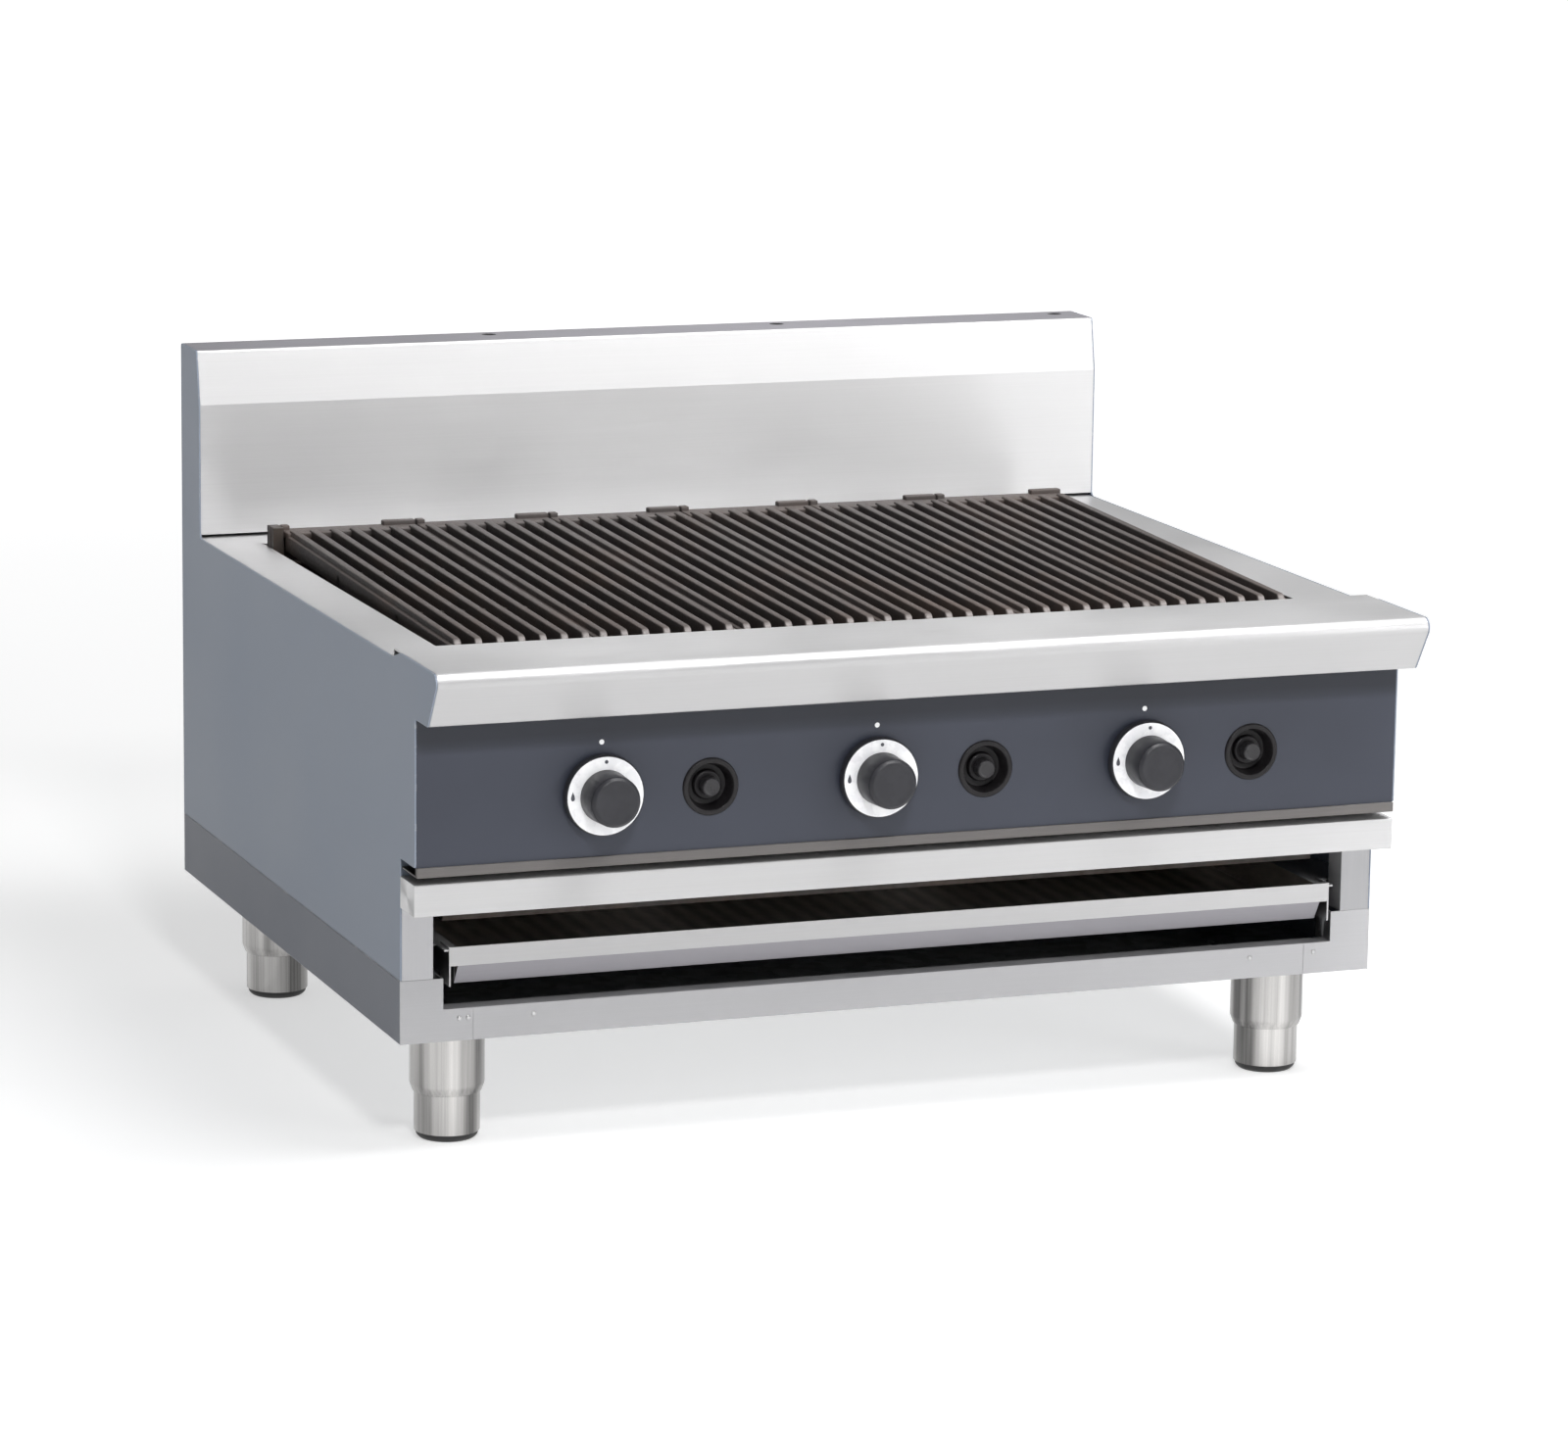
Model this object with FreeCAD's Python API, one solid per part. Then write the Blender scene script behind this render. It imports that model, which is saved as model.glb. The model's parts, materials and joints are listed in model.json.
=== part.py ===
import FreeCAD, Part
import math
import os

# Countertop gas charbroiler, millimetres.  +X is to the right, -Y is the front, +Z is up.
# The origin is on the floor, under the middle of the overall box.

V = FreeCAD.Vector

# Overall size
HALF_WIDTH = 450.0
NOSE_Y = -400.0
BACK_Y = 400.0
HEIGHT = 605.0
SHEET = 1.5

# Heights of the body
BASE_Z = 102.5
SEAM_Z = 157.5
RAIL_Z = (221.0, 248.5)
PANEL_Z = 263.5
NOSE_UNDER_Z = 389.5
DECK_Z = 431.0
APRON_Z = 438.0
BAND_Z = 555.0

# Front to back places of the body
FRAME_Y = -300.0
RAIL_Y = -339.5
PANEL_Y = -341.0
NOSE_UNDER_Y = -376.5
RISER_Y = -276.0
SPLASH_Y = 336.5
SPLASH_TOP_Y = 345.5
NOSE_RADIUS = 9.0
INNER_X = HALF_WIDTH - SHEET

# Well in the deck, and the firebox that hangs under it
WELL_X = (-401.2, 393.5)
WELL_Y = (-268.0, 292.0)
WELL_LIP = 12.0
FIREBOX_X = 402.8
FIREBOX_Y = (-270.0, 294.0)
FIREBOX_Z = 200.0

# Grates
GRATE_COUNT = 6
GRATE_PITCH = 130.0
GRATE_GAP = 1.5
BARS_PER_GRATE = 7
BAR_PITCH = 19.0
BAR_WIDTH = 7.5
GRATE_Y = (-244.0, 282.0)
GRATE_TOP_Z = (435.8, 448.5)
BAR_HEIGHT = 20.0
BAR_REAR_Y = 262.0
FLANGE_Y = 252.0
FLANGE_TOP_Z = 446.0
REST_TOP_Z = (409.0, 418.0)
REST_DEPTH = 34.0
LUG_TOP_Z = 450.0
LUG_WIDTH = {-1: 8.0, 1: 31.0}
END_STOP_X = (-400.5, -390.5)

# Burners and radiants
BURNER_PITCH = 260.0
BURNER_TOP_Z = 331.0
BURNER_REST_Z = 303.0
BURNER_Y = (-240.0, 252.0)
FRONT_BEAM_Y = (-245.0, -225.0)
REAR_BEAM_Y = (238.0, 258.0)
RADIANT_TOP_Z = 388.0
RADIANT_FOOT_Z = 346.0

# Controls
KNOB_X = (-287.0, -40.0, 208.0)
IGNITER_X = (-190.0, 60.0, 310.0)
CONTROL_Z = 317.0
DIAL_RADIUS = 35.0
CAP_RADIUS = 23.3
DIAL_Y = (-353.0, -345.0)
CAP_FRONT_Y = -382.0
STEM_RADIUS = 4.0
RUNNING_FIT = 0.05
MANIFOLD_RADIUS = 10.7
MANIFOLD_BORE = 8.0
MANIFOLD_Y = -307.0
MANIFOLD_Z = 284.0
SUPPLY_X = 415.5
SUPPLY_HOLE = 17.0

# Drip tray
TRAY_X = 400.0
TRAY_FRONT_X = 408.0
TRAY_FRONT_DEPTH = 25.0
TRAY_Y = (-303.0, 366.0)
TRAY_Z = (150.5, 184.5)
RUNNER_TOP_Z = 181.0

# Legs
LEG_X = 386.0
LEG_Y = (-227.0, 306.0)
SLEEVE_RADIUS = 32.5
SLEEVE_Z = (41.5, 48.5)
INSERT_RADIUS = 28.5
TIP_HEIGHT = 6.5
STUD_RADIUS = 8.0

SIDES = {"left": -1, "right": 1}
PLACES = ("left", "middle", "right")


def box(x, y, z):
    corner = V(min(x), min(y), min(z))
    return Part.makeBox(max(x) - min(x), max(y) - min(y), max(z) - min(z), corner)


def rod(centre, axis, radius, length):
    return Part.makeCylinder(radius, length, V(*centre), V(*axis))


def cone(centre, axis, first_radius, last_radius, length):
    return Part.makeCone(first_radius, last_radius, length, V(*centre), V(*axis))


def joined(shapes):
    return shapes[0].multiFuse(shapes[1:]).removeSplitter() if len(shapes) > 1 else shapes[0]


def group(shapes):
    return Part.makeCompound(shapes)


def mirrored(shape):
    return shape.mirror(V(0, 0, 0), V(1, 0, 0))


def corner_arc(before, corner, after, radius):
    # Start, middle and end of the round that replaces a corner of an outline
    to_before = (before - corner).normalize()
    to_after = (after - corner).normalize()
    half = to_before.getAngle(to_after) / 2
    reach = radius / math.tan(half)
    middle_way = (to_before + to_after).normalize()
    centre = corner + middle_way * (radius / math.sin(half))
    return corner + to_before * reach, centre - middle_way * radius, corner + to_after * reach


def outline(points, radii):
    # Closed wire through (y, z) points, with a round at each corner that has a radius
    places = [V(0, y, z) for y, z in points]
    edges = []
    ends = []
    for i, place in enumerate(places):
        before = places[i - 1]
        after = places[(i + 1) % len(places)]
        if radii[i] > 0:
            start, middle, end = corner_arc(before, place, after, radii[i])
            edges.append(Part.Arc(start, middle, end).toShape())
            ends.append((start, end))
        else:
            ends.append((place, place))
    for i, (start, end) in enumerate(ends):
        following = ends[(i + 1) % len(ends)][0]
        if (following - end).Length > 1e-6:
            edges.append(Part.makeLine(end, following))
    return Part.Wire(Part.__sortEdges__(edges))


def prism(points, x, radii=None):
    # Solid with a (y, z) outline, from x[0] to x[1]
    face = Part.Face(outline(points, radii or [0] * len(points)))
    solid = face.extrude(V(max(x) - min(x), 0, 0))
    solid.translate(V(min(x), 0, 0))
    return solid


def shifted_path(points, distance):
    # The same open path, moved to its left by a distance, with mitred corners
    result = []
    for i, (y, z) in enumerate(points):
        normals = []
        for a, b in ((i - 1, i), (i, i + 1)):
            if a >= 0 and b < len(points):
                dy = points[b][0] - points[a][0]
                dz = points[b][1] - points[a][1]
                length = math.hypot(dy, dz)
                normals.append((-dz / length, dy / length))
        ny = sum(n[0] for n in normals) / len(normals)
        nz = sum(n[1] for n in normals) / len(normals)
        scale = distance / (ny * ny + nz * nz)
        result.append((y + ny * scale, z + nz * scale))
    return result


def folded_sheet(points, radii, x, thickness=SHEET):
    # Sheet bent along an open (y, z) path; the sheet lies to the left of the path
    other = shifted_path(points, thickness)
    other_radii = []
    for i, radius in enumerate(radii):
        if radius == 0:
            other_radii.append(0)
            continue
        ay = points[i][0] - points[i - 1][0]
        az = points[i][1] - points[i - 1][1]
        by = points[i + 1][0] - points[i][0]
        bz = points[i + 1][1] - points[i][1]
        turns_left = ay * bz - az * by > 0
        other_radii.append(radius - thickness if turns_left else radius + thickness)
    return prism(points + other[::-1], x, radii + other_radii[::-1])


def nose_corner():
    # Where the apron's top and the nose's slanted front would meet if the nose were sharp
    centre_y = NOSE_Y + NOSE_RADIUS
    centre_z = APRON_Z - NOSE_RADIUS
    rise = centre_z - NOSE_UNDER_Z
    run = centre_y - NOSE_UNDER_Y
    slant = math.atan2(rise, run) + math.asin(NOSE_RADIUS / math.hypot(run, rise))
    return NOSE_UNDER_Y + (APRON_Z - NOSE_UNDER_Z) / math.tan(slant), APRON_Z


def side_panel(side):
    points = [
        (BACK_Y, SEAM_Z), (BACK_Y, HEIGHT), (SPLASH_TOP_Y, HEIGHT), (SPLASH_Y, BAND_Z),
        (SPLASH_Y, DECK_Z), (RISER_Y, DECK_Z), (RISER_Y - 24, APRON_Z), nose_corner(),
        (NOSE_UNDER_Y, NOSE_UNDER_Z), (PANEL_Y, NOSE_UNDER_Z), (PANEL_Y, PANEL_Z),
        (FRAME_Y, PANEL_Z), (FRAME_Y, SEAM_Z),
    ]
    radii = [0, 3, 3, 0, 6, 20, 20, NOSE_RADIUS, 3, 0, 2, 0, 0]
    plate = prism(points, (-HALF_WIDTH, -INNER_X), radii)
    rear_return = box((-INNER_X, -433), (BACK_Y - SHEET, BACK_Y), (SEAM_Z, HEIGHT - 16))
    front_return = box((-INNER_X, -436), (FRAME_Y + SHEET, FRAME_Y + 2 * SHEET), (SEAM_Z, PANEL_Z))
    foot_return = box((-INNER_X, -436), (FRAME_Y + 2 * SHEET, BACK_Y - SHEET), (SEAM_Z, SEAM_Z + SHEET))
    panel = joined([plate, rear_return, front_return, foot_return])
    return panel if side < 0 else mirrored(panel)


def back_panel():
    panel = box((-INNER_X, INNER_X), (BACK_Y - 2 * SHEET, BACK_Y - SHEET), (SEAM_Z + SHEET, HEIGHT - 4))
    slots = []
    for row in range(3):
        for column in range(8):
            x = -315 + 90 * column
            z = 520 + 18 * row
            slots.append(box((x - 32, x + 32), (BACK_Y - 10, BACK_Y), (z - 3, z + 3)))
    inlet_hole = rod((SUPPLY_X, BACK_Y - 10, MANIFOLD_Z), (0, 1, 0), SUPPLY_HOLE, 20)
    return panel.cut(group(slots + [inlet_hole]))


FLANGE_HOLE_X = (-155.0, 135.0, 425.0)
FLANGE_HOLE_Y = 382.0
PLUG_RADIUS = 7.0


def splashback():
    path = [
        (BACK_Y, HEIGHT - 16), (BACK_Y, HEIGHT), (SPLASH_TOP_Y, HEIGHT),
        (SPLASH_Y, BAND_Z), (SPLASH_Y, DECK_Z + 3),
    ]
    sheet = folded_sheet(path, [0, 2.5, 3, 3, 0], (-INNER_X, INNER_X))
    holes = [rod((x, FLANGE_HOLE_Y, HEIGHT - 10), (0, 0, 1), PLUG_RADIUS, 20) for x in FLANGE_HOLE_X]
    return sheet.cut(group(holes))


def flange_plugs():
    plugs = []
    for x in FLANGE_HOLE_X:
        body = rod((x, FLANGE_HOLE_Y, HEIGHT - 6), (0, 0, 1), PLUG_RADIUS, 6)
        dish = cone((x, FLANGE_HOLE_Y, HEIGHT - 1.5), (0, 0, 1), 3.0, 5.5, 1.5)
        plugs.append(body.cut(dish))
    return group(plugs)


def hob_deck():
    path = [
        (BACK_Y - 20, DECK_Z), (RISER_Y, DECK_Z), (RISER_Y, APRON_Z), nose_corner(),
        (NOSE_UNDER_Y, NOSE_UNDER_Z), (PANEL_Y - 2, NOSE_UNDER_Z),
    ]
    sheet = folded_sheet(path, [0, 2, 2.5, NOSE_RADIUS, 3, 0], (-INNER_X, INNER_X))
    well = box(WELL_X, WELL_Y, (DECK_Z - 30, DECK_Z + 30))
    lip_outer = box((WELL_X[0] - SHEET, WELL_X[1] + SHEET), (WELL_Y[0] - SHEET, WELL_Y[1] + SHEET),
                    (DECK_Z - WELL_LIP, DECK_Z - SHEET))
    return joined([sheet.cut(well), lip_outer.cut(well)])


def firebox():
    outer = box((-FIREBOX_X - SHEET, FIREBOX_X + SHEET), (FIREBOX_Y[0] - SHEET, FIREBOX_Y[1] + SHEET),
                (FIREBOX_Z, DECK_Z - SHEET))
    inner = box((-FIREBOX_X, FIREBOX_X), FIREBOX_Y, (FIREBOX_Z - 1, DECK_Z))
    holes = [rod((x, FIREBOX_Y[0] - 10, CONTROL_Z), (0, 1, 0), 19, 20) for x in KNOB_X]
    return outer.cut(inner).cut(group(holes))


def grate_rests():
    rests = []
    for edge_y, way, top in ((FIREBOX_Y[0], 1, REST_TOP_Z[0]), (FIREBOX_Y[1], -1, REST_TOP_Z[1])):
        shelf = box((-FIREBOX_X, FIREBOX_X), (edge_y, edge_y + way * REST_DEPTH), (top - 2, top))
        leg = box((-FIREBOX_X, FIREBOX_X), (edge_y, edge_y + way * 2), (top - 22, top))
        rests.append([shelf, leg])
    # A stop at the left end of the rear rest, where the well is wider than the row of grates
    rests[1].append(box(END_STOP_X, (FLANGE_Y + 9, GRATE_Y[1]), (REST_TOP_Z[1] - 2, LUG_TOP_Z)))
    return group([joined(rest) for rest in rests])


def grate_top_z(y):
    share = (y - GRATE_Y[0]) / (GRATE_Y[1] - GRATE_Y[0])
    return GRATE_TOP_Z[0] + share * (GRATE_TOP_Z[1] - GRATE_TOP_Z[0])


def grate_bar(x, set_down, nose_round):
    # Sloping top, rounded nose at the front, underside parallel to the cooking face
    front, rear = GRATE_Y[0], BAR_REAR_Y
    points = [
        (front, grate_top_z(front) - BAR_HEIGHT), (rear, grate_top_z(rear) - BAR_HEIGHT),
        (rear, grate_top_z(rear) - set_down), (front, grate_top_z(front) - set_down),
    ]
    return prism(points, x, [0, 0, 0, nose_round])


def grate(index):
    centre = GRATE_PITCH * (index - (GRATE_COUNT - 1) / 2)
    half = (GRATE_PITCH - GRATE_GAP) / 2
    outer_bar = BAR_PITCH * (BARS_PER_GRATE - 1) / 2
    pieces = []
    for i in range(BARS_PER_GRATE):
        x = centre - outer_bar + BAR_PITCH * i
        pieces.append(grate_bar((x - BAR_WIDTH / 2, x + BAR_WIDTH / 2), 0, 8))
    for way in (-1, 1):
        # Thin skirt outside each outer bar, set down from the cooking face
        pieces.append(grate_bar((centre + outer_bar * way, centre + half * way), 5, 5))
    span = (centre - half, centre + half)
    pieces.append(box(span, (GRATE_Y[0] + 4, GRATE_Y[0] + 12), (REST_TOP_Z[0], GRATE_TOP_Z[0] - 10)))
    for y in (-90, 90):
        top = grate_top_z(y)
        pieces.append(box(span, (y - 4, y + 4), (top - BAR_HEIGHT, top - 8)))
    # Rear flange with its down wall, and the raised lugs at its two corners
    pieces.append(box(span, (FLANGE_Y, GRATE_Y[1]), (FLANGE_TOP_Z - 6, FLANGE_TOP_Z)))
    pieces.append(box(span, (GRATE_Y[1] - 9, GRATE_Y[1]), (REST_TOP_Z[1], FLANGE_TOP_Z)))
    for way in (-1, 1):
        edge = centre + half * way
        lug_x = (edge, edge - LUG_WIDTH[way] * way)
        pieces.append(box(lug_x, (GRATE_Y[1] - 9, GRATE_Y[1]), (FLANGE_TOP_Z - 4, LUG_TOP_Z)))
    return joined(pieces)


def burner_beams():
    beams = []
    for y in (FRONT_BEAM_Y, REAR_BEAM_Y):
        shelf = box((-FIREBOX_X, FIREBOX_X), y, (BURNER_REST_Z - 2, BURNER_REST_Z))
        web = box((-FIREBOX_X, FIREBOX_X), (y[0], y[0] + 2), (BURNER_REST_Z - 16, BURNER_REST_Z))
        beams.append(joined([shelf, web]))
    return group(beams)


def burner(index):
    centre = BURNER_PITCH * (index - 1)
    inlet_x = KNOB_X[index]
    arms = []
    for way in (-1, 1):
        x = centre + 60 * way
        arms.append(box((x - 18, x + 18), BURNER_Y, (BURNER_REST_Z, BURNER_TOP_Z)))
    cross = box((centre - 78, centre + 78), (-25, 25), (BURNER_REST_Z, BURNER_TOP_Z))
    mixing_tube = rod((inlet_x, -284, CONTROL_Z), (0, 1, 0), 13.5, 284)
    bell = cone((inlet_x, -284, CONTROL_Z), (0, 1, 0), 17, 13.5, 10)
    bore = rod((inlet_x, -285, CONTROL_Z), (0, 1, 0), 10.5, 270)
    body = joined(arms + [cross, mixing_tube, bell]).cut(bore)
    ports = []
    for way in (-1, 1):
        for row in (-8, 8):
            for i in range(18):
                y = BURNER_Y[0] + 25 + 26 * i
                x = centre + 60 * way + row
                ports.append(box((x - 5, x + 5), (y - 1.5, y + 1.5), (BURNER_TOP_Z - 4, BURNER_TOP_Z + 1)))
    return body.cut(group(ports))


def radiant(index):
    # Cast plate with two ridges over the burner's two arms, on four corner feet
    centre = BURNER_PITCH * (index - 1)
    y = (FRONT_BEAM_Y[0] + 2, REAR_BEAM_Y[1] - 2)
    wall = 6
    half = 122
    peak = RADIANT_TOP_Z
    valley = RADIANT_FOOT_Z
    top = [(-half, valley + wall), (-half / 2, peak), (0, valley + wall), (half / 2, peak), (half, valley + wall)]
    under = [(half, valley), (half / 2, peak - wall), (0, valley), (-half / 2, peak - wall), (-half, valley)]
    places = [V(centre + x, y[0], z) for x, z in top + under]
    face = Part.Face(Part.makePolygon(places + [places[0]]))
    plate = face.extrude(V(0, y[1] - y[0], 0))
    slots = []
    for ridge in (-half / 2, half / 2):
        for i in range(9):
            at = y[0] + 45 + 52 * i
            slots.append(box((centre + ridge - 18, centre + ridge + 18), (at - 4, at + 4), (peak - 30, peak + 5)))
    feet = []
    for x in (centre - half, centre + half - 12):
        for at in (y[0], y[1] - 14):
            feet.append(box((x, x + 12), (at, at + 14), (BURNER_REST_Z, valley + 3)))
    return joined([plate.cut(group(slots))] + feet)


def pilot_burners():
    pilots = []
    for index in range(3):
        x = BURNER_PITCH * (index - 1) + 15
        post = rod((x, -235, BURNER_REST_Z), (0, 0, 1), 5, 22)
        hood = rod((x, -235, BURNER_REST_Z + 16), (0, 0, 1), 8, 4)
        spark = rod((x + 14, -235, BURNER_REST_Z), (0, 0, 1), 2.5, 26)
        foot = box((x - 8, x + 20), (-243, -227), (BURNER_REST_Z, BURNER_REST_Z + 2))
        pilots.append(joined([post, hood, spark, foot]))
    return group(pilots)


def control_panel():
    sheet = box((-INNER_X, INNER_X), (PANEL_Y, PANEL_Y + SHEET), (PANEL_Z, NOSE_UNDER_Z))
    top_return = box((-INNER_X, INNER_X), (PANEL_Y, PANEL_Y + 14), (NOSE_UNDER_Z - SHEET, NOSE_UNDER_Z))
    cuts = []
    for knob_x, igniter_x in zip(KNOB_X, IGNITER_X):
        cuts.append(rod((knob_x, PANEL_Y - 5, CONTROL_Z), (0, 1, 0), 6.5, 12))
        cuts.append(rod((igniter_x, PANEL_Y - 5, CONTROL_Z), (0, 1, 0), 22, 12))
    return joined([sheet, top_return]).cut(group(cuts))


def panel_lip():
    # Stainless channel that carries the bottom edge of the control panel
    front_y = PANEL_Y - 2
    back_y = PANEL_Y + SHEET
    low = PANEL_Z - 8.5
    back_leg = box((-INNER_X, INNER_X), (back_y, back_y + SHEET), (low, PANEL_Z + 10))
    ledge = box((-INNER_X, INNER_X), (front_y, back_y), (PANEL_Z - SHEET, PANEL_Z))
    front = box((-INNER_X, INNER_X), (front_y, front_y + SHEET), (low, PANEL_Z))
    floor = box((-INNER_X, INNER_X), (front_y, FRAME_Y), (low, low + SHEET))
    return joined([back_leg, ledge, front, floor])


def front_rail():
    outer = box((-HALF_WIDTH, HALF_WIDTH), (RAIL_Y, FRAME_Y), RAIL_Z)
    hollow = box((-INNER_X, INNER_X), (RAIL_Y + SHEET, FRAME_Y + 1), (RAIL_Z[0] + SHEET, RAIL_Z[1] - SHEET))
    shell = outer.cut(hollow)
    long_edges = [e for e in shell.Edges
                  if abs(e.BoundBox.YMin - RAIL_Y) < 0.01 and e.BoundBox.YLength < 0.01 and e.BoundBox.XLength > 500]
    return shell.makeFillet(1.2, long_edges)


def stile(side):
    face = box((-INNER_X, -421), (FRAME_Y, FRAME_Y + SHEET), (SEAM_Z, RAIL_Z[0]))
    depth = box((-422.5, -421), (FRAME_Y, FRAME_Y + 26), (SEAM_Z, RAIL_Z[0]))
    piece = joined([face, depth])
    return piece if side < 0 else mirrored(piece)


BASE_SLOT_X = 412.0
BASE_SLOT_Z = 130.5
CORNER_SEAM_X = 386.0
RIVET_PLACES = ((-398.0, 122.0), (-390.0, 122.0), (-332.0, 121.0), (334.0, 121.0), (396.0, 122.0))


def base_front():
    face = box((-HALF_WIDTH, HALF_WIDTH), (FRAME_Y, FRAME_Y + SHEET), (BASE_Z, SEAM_Z))
    slot = box((-BASE_SLOT_X, BASE_SLOT_X), (FRAME_Y - 5, FRAME_Y + 5), (BASE_SLOT_Z, SEAM_Z + 5))
    shelf_x = BASE_SLOT_X + SHEET
    shelf = box((-shelf_x, shelf_x), (FRAME_Y, FRAME_Y + 18), (BASE_SLOT_Z - SHEET, BASE_SLOT_Z))
    foot = box((-INNER_X, INNER_X), (FRAME_Y, FRAME_Y + 22), (BASE_Z, BASE_Z + SHEET))
    posts = [box((s * BASE_SLOT_X, s * shelf_x), (FRAME_Y, FRAME_Y + 30),
                 (BASE_SLOT_Z - SHEET, SEAM_Z)) for s in (-1, 1)]
    seams = [box((s * CORNER_SEAM_X - 0.5, s * CORNER_SEAM_X + 0.5), (FRAME_Y - 1, FRAME_Y + 0.6),
                 (BASE_Z - 1, BASE_SLOT_Z - SHEET)) for s in (-1, 1)]
    return joined([face.cut(slot), shelf, foot] + posts).cut(group(seams))


def base_side(side):
    face = box((-HALF_WIDTH, -INNER_X), (FRAME_Y + SHEET, BACK_Y - SHEET), (BASE_Z, SEAM_Z))
    foot = box((-INNER_X, -424), (FRAME_Y + 22, BACK_Y - SHEET), (BASE_Z, BASE_Z + SHEET))
    top = box((-INNER_X, -430), (FRAME_Y + 30, BACK_Y - SHEET), (SEAM_Z - SHEET, SEAM_Z))
    piece = joined([face, foot, top])
    return piece if side < 0 else mirrored(piece)


def base_rear_rail():
    face = box((-HALF_WIDTH, HALF_WIDTH), (BACK_Y - SHEET, BACK_Y), (BASE_Z, SEAM_Z))
    foot = box((-424, 424), (BACK_Y - 22, BACK_Y), (BASE_Z, BASE_Z + SHEET))
    return joined([face, foot])


def base_rivets():
    rivets = []
    for x, z in RIVET_PLACES:
        head = Part.makeSphere(2.6, V(x, FRAME_Y + 1.3, z))
        rivets.append(head.common(box((x - 5, x + 5), (FRAME_Y - 5, FRAME_Y), (z - 5, z + 5))))
    return group(rivets)


def leg_places():
    return [(side, end, SIDES[side] * LEG_X, LEG_Y[0] if end == "front" else LEG_Y[1])
            for side in ("left", "right") for end in ("front", "rear")]


def base_floor():
    # Floor sheet of the base, with a thicker pad over each leg
    low = BASE_Z + SHEET
    sheet = box((-INNER_X, INNER_X), (FRAME_Y + SHEET, BACK_Y - SHEET), (low, low + SHEET))
    pads = []
    holes = []
    for side, end, x, y in leg_places():
        pads.append(box((x - 36, x + 36), (y - 50, y + 50), (BASE_Z, low + SHEET + 3)))
        holes.append(rod((x, y, BASE_Z - 5), (0, 0, 1), STUD_RADIUS + 1.5, 20))
    return joined([sheet] + pads).cut(group(holes))


def leg_sleeves():
    sleeves = []
    low, shoulder = SLEEVE_Z
    for side, end, x, y in leg_places():
        tube = rod((x, y, shoulder), (0, 0, 1), SLEEVE_RADIUS, BASE_Z - shoulder)
        taper = cone((x, y, low), (0, 0, 1), INSERT_RADIUS + 1.4, SLEEVE_RADIUS, shoulder - low)
        hollow = rod((x, y, low - 1), (0, 0, 1), INSERT_RADIUS + 0.4, BASE_Z - 3 - low + 1)
        nut = rod((x, y, 86), (0, 0, 1), 13, BASE_Z - 86)
        bore = rod((x, y, 80), (0, 0, 1), STUD_RADIUS + RUNNING_FIT, 30)
        sleeves.append(joined([joined([tube, taper]).cut(hollow), nut]).cut(bore))
    return group(sleeves)


def leg_foot(x, y):
    pad = cone((x, y, 0), (0, 0, 1), INSERT_RADIUS - 4, INSERT_RADIUS - 1.2, TIP_HEIGHT)
    skin = rod((x, y, TIP_HEIGHT), (0, 0, 1), INSERT_RADIUS, 84 - TIP_HEIGHT)
    hollow = rod((x, y, TIP_HEIGHT + 3), (0, 0, 1), INSERT_RADIUS - 2, 84)
    stud = rod((x, y, TIP_HEIGHT + 3), (0, 0, 1), STUD_RADIUS, 97 - TIP_HEIGHT - 3)
    return joined([pad, skin.cut(hollow), stud])


def gas_manifold():
    left_end = KNOB_X[0] - 20
    pipe = rod((left_end, MANIFOLD_Y, MANIFOLD_Z), (1, 0, 0), MANIFOLD_RADIUS, SUPPLY_X - left_end)
    elbow = Part.makeSphere(MANIFOLD_RADIUS, V(SUPPLY_X, MANIFOLD_Y, MANIFOLD_Z))
    supply = rod((SUPPLY_X, MANIFOLD_Y, MANIFOLD_Z), (0, 1, 0), MANIFOLD_RADIUS, 368 - MANIFOLD_Y)
    bosses = [rod((x, MANIFOLD_Y, MANIFOLD_Z), (0, 0, 1), 8, 14) for x in KNOB_X]
    bores = [
        rod((left_end + 3, MANIFOLD_Y, MANIFOLD_Z), (1, 0, 0), MANIFOLD_BORE, SUPPLY_X - left_end - 3),
        rod((SUPPLY_X, MANIFOLD_Y, MANIFOLD_Z), (0, 1, 0), MANIFOLD_BORE, 369 - MANIFOLD_Y),
        Part.makeSphere(MANIFOLD_BORE, V(SUPPLY_X, MANIFOLD_Y, MANIFOLD_Z)),
    ]
    return joined([pipe, elbow, supply] + bosses).cut(joined(bores))


def gas_inlet():
    nut = rod((SUPPLY_X, 368, MANIFOLD_Z), (0, 1, 0), 13.5, 12)
    thread = rod((SUPPLY_X, 380, MANIFOLD_Z), (0, 1, 0), 10.5, 18)
    bore = rod((SUPPLY_X, 367, MANIFOLD_Z), (0, 1, 0), 7.5, 40)
    return joined([nut, thread]).cut(bore)


def gas_valve(x):
    body = box((x - 12, x + 12), (-318, -296), (CONTROL_Z - 17, CONTROL_Z + 17))
    inlet = rod((x, MANIFOLD_Y, MANIFOLD_Z + 14), (0, 0, 1), 7, 4)
    gland = rod((x, -326, CONTROL_Z), (0, 1, 0), 9, 8)
    injector = cone((x, -296, CONTROL_Z), (0, 1, 0), 6, 3.5, 9)
    bore = rod((x, -330, CONTROL_Z), (0, 1, 0), STEM_RADIUS + RUNNING_FIT, 26)
    return joined([body, inlet, gland, injector]).cut(bore)


def valve_stem(x):
    stem = rod((x, -364, CONTROL_Z), (0, 1, 0), STEM_RADIUS, 58)
    collar = rod((x, -331, CONTROL_Z), (0, 1, 0), 6, 3)
    flat = box((x - 6, x + 6), (-366, -340), (CONTROL_Z + 2.5, CONTROL_Z + 6))
    return joined([stem, collar]).cut(flat)


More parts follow.
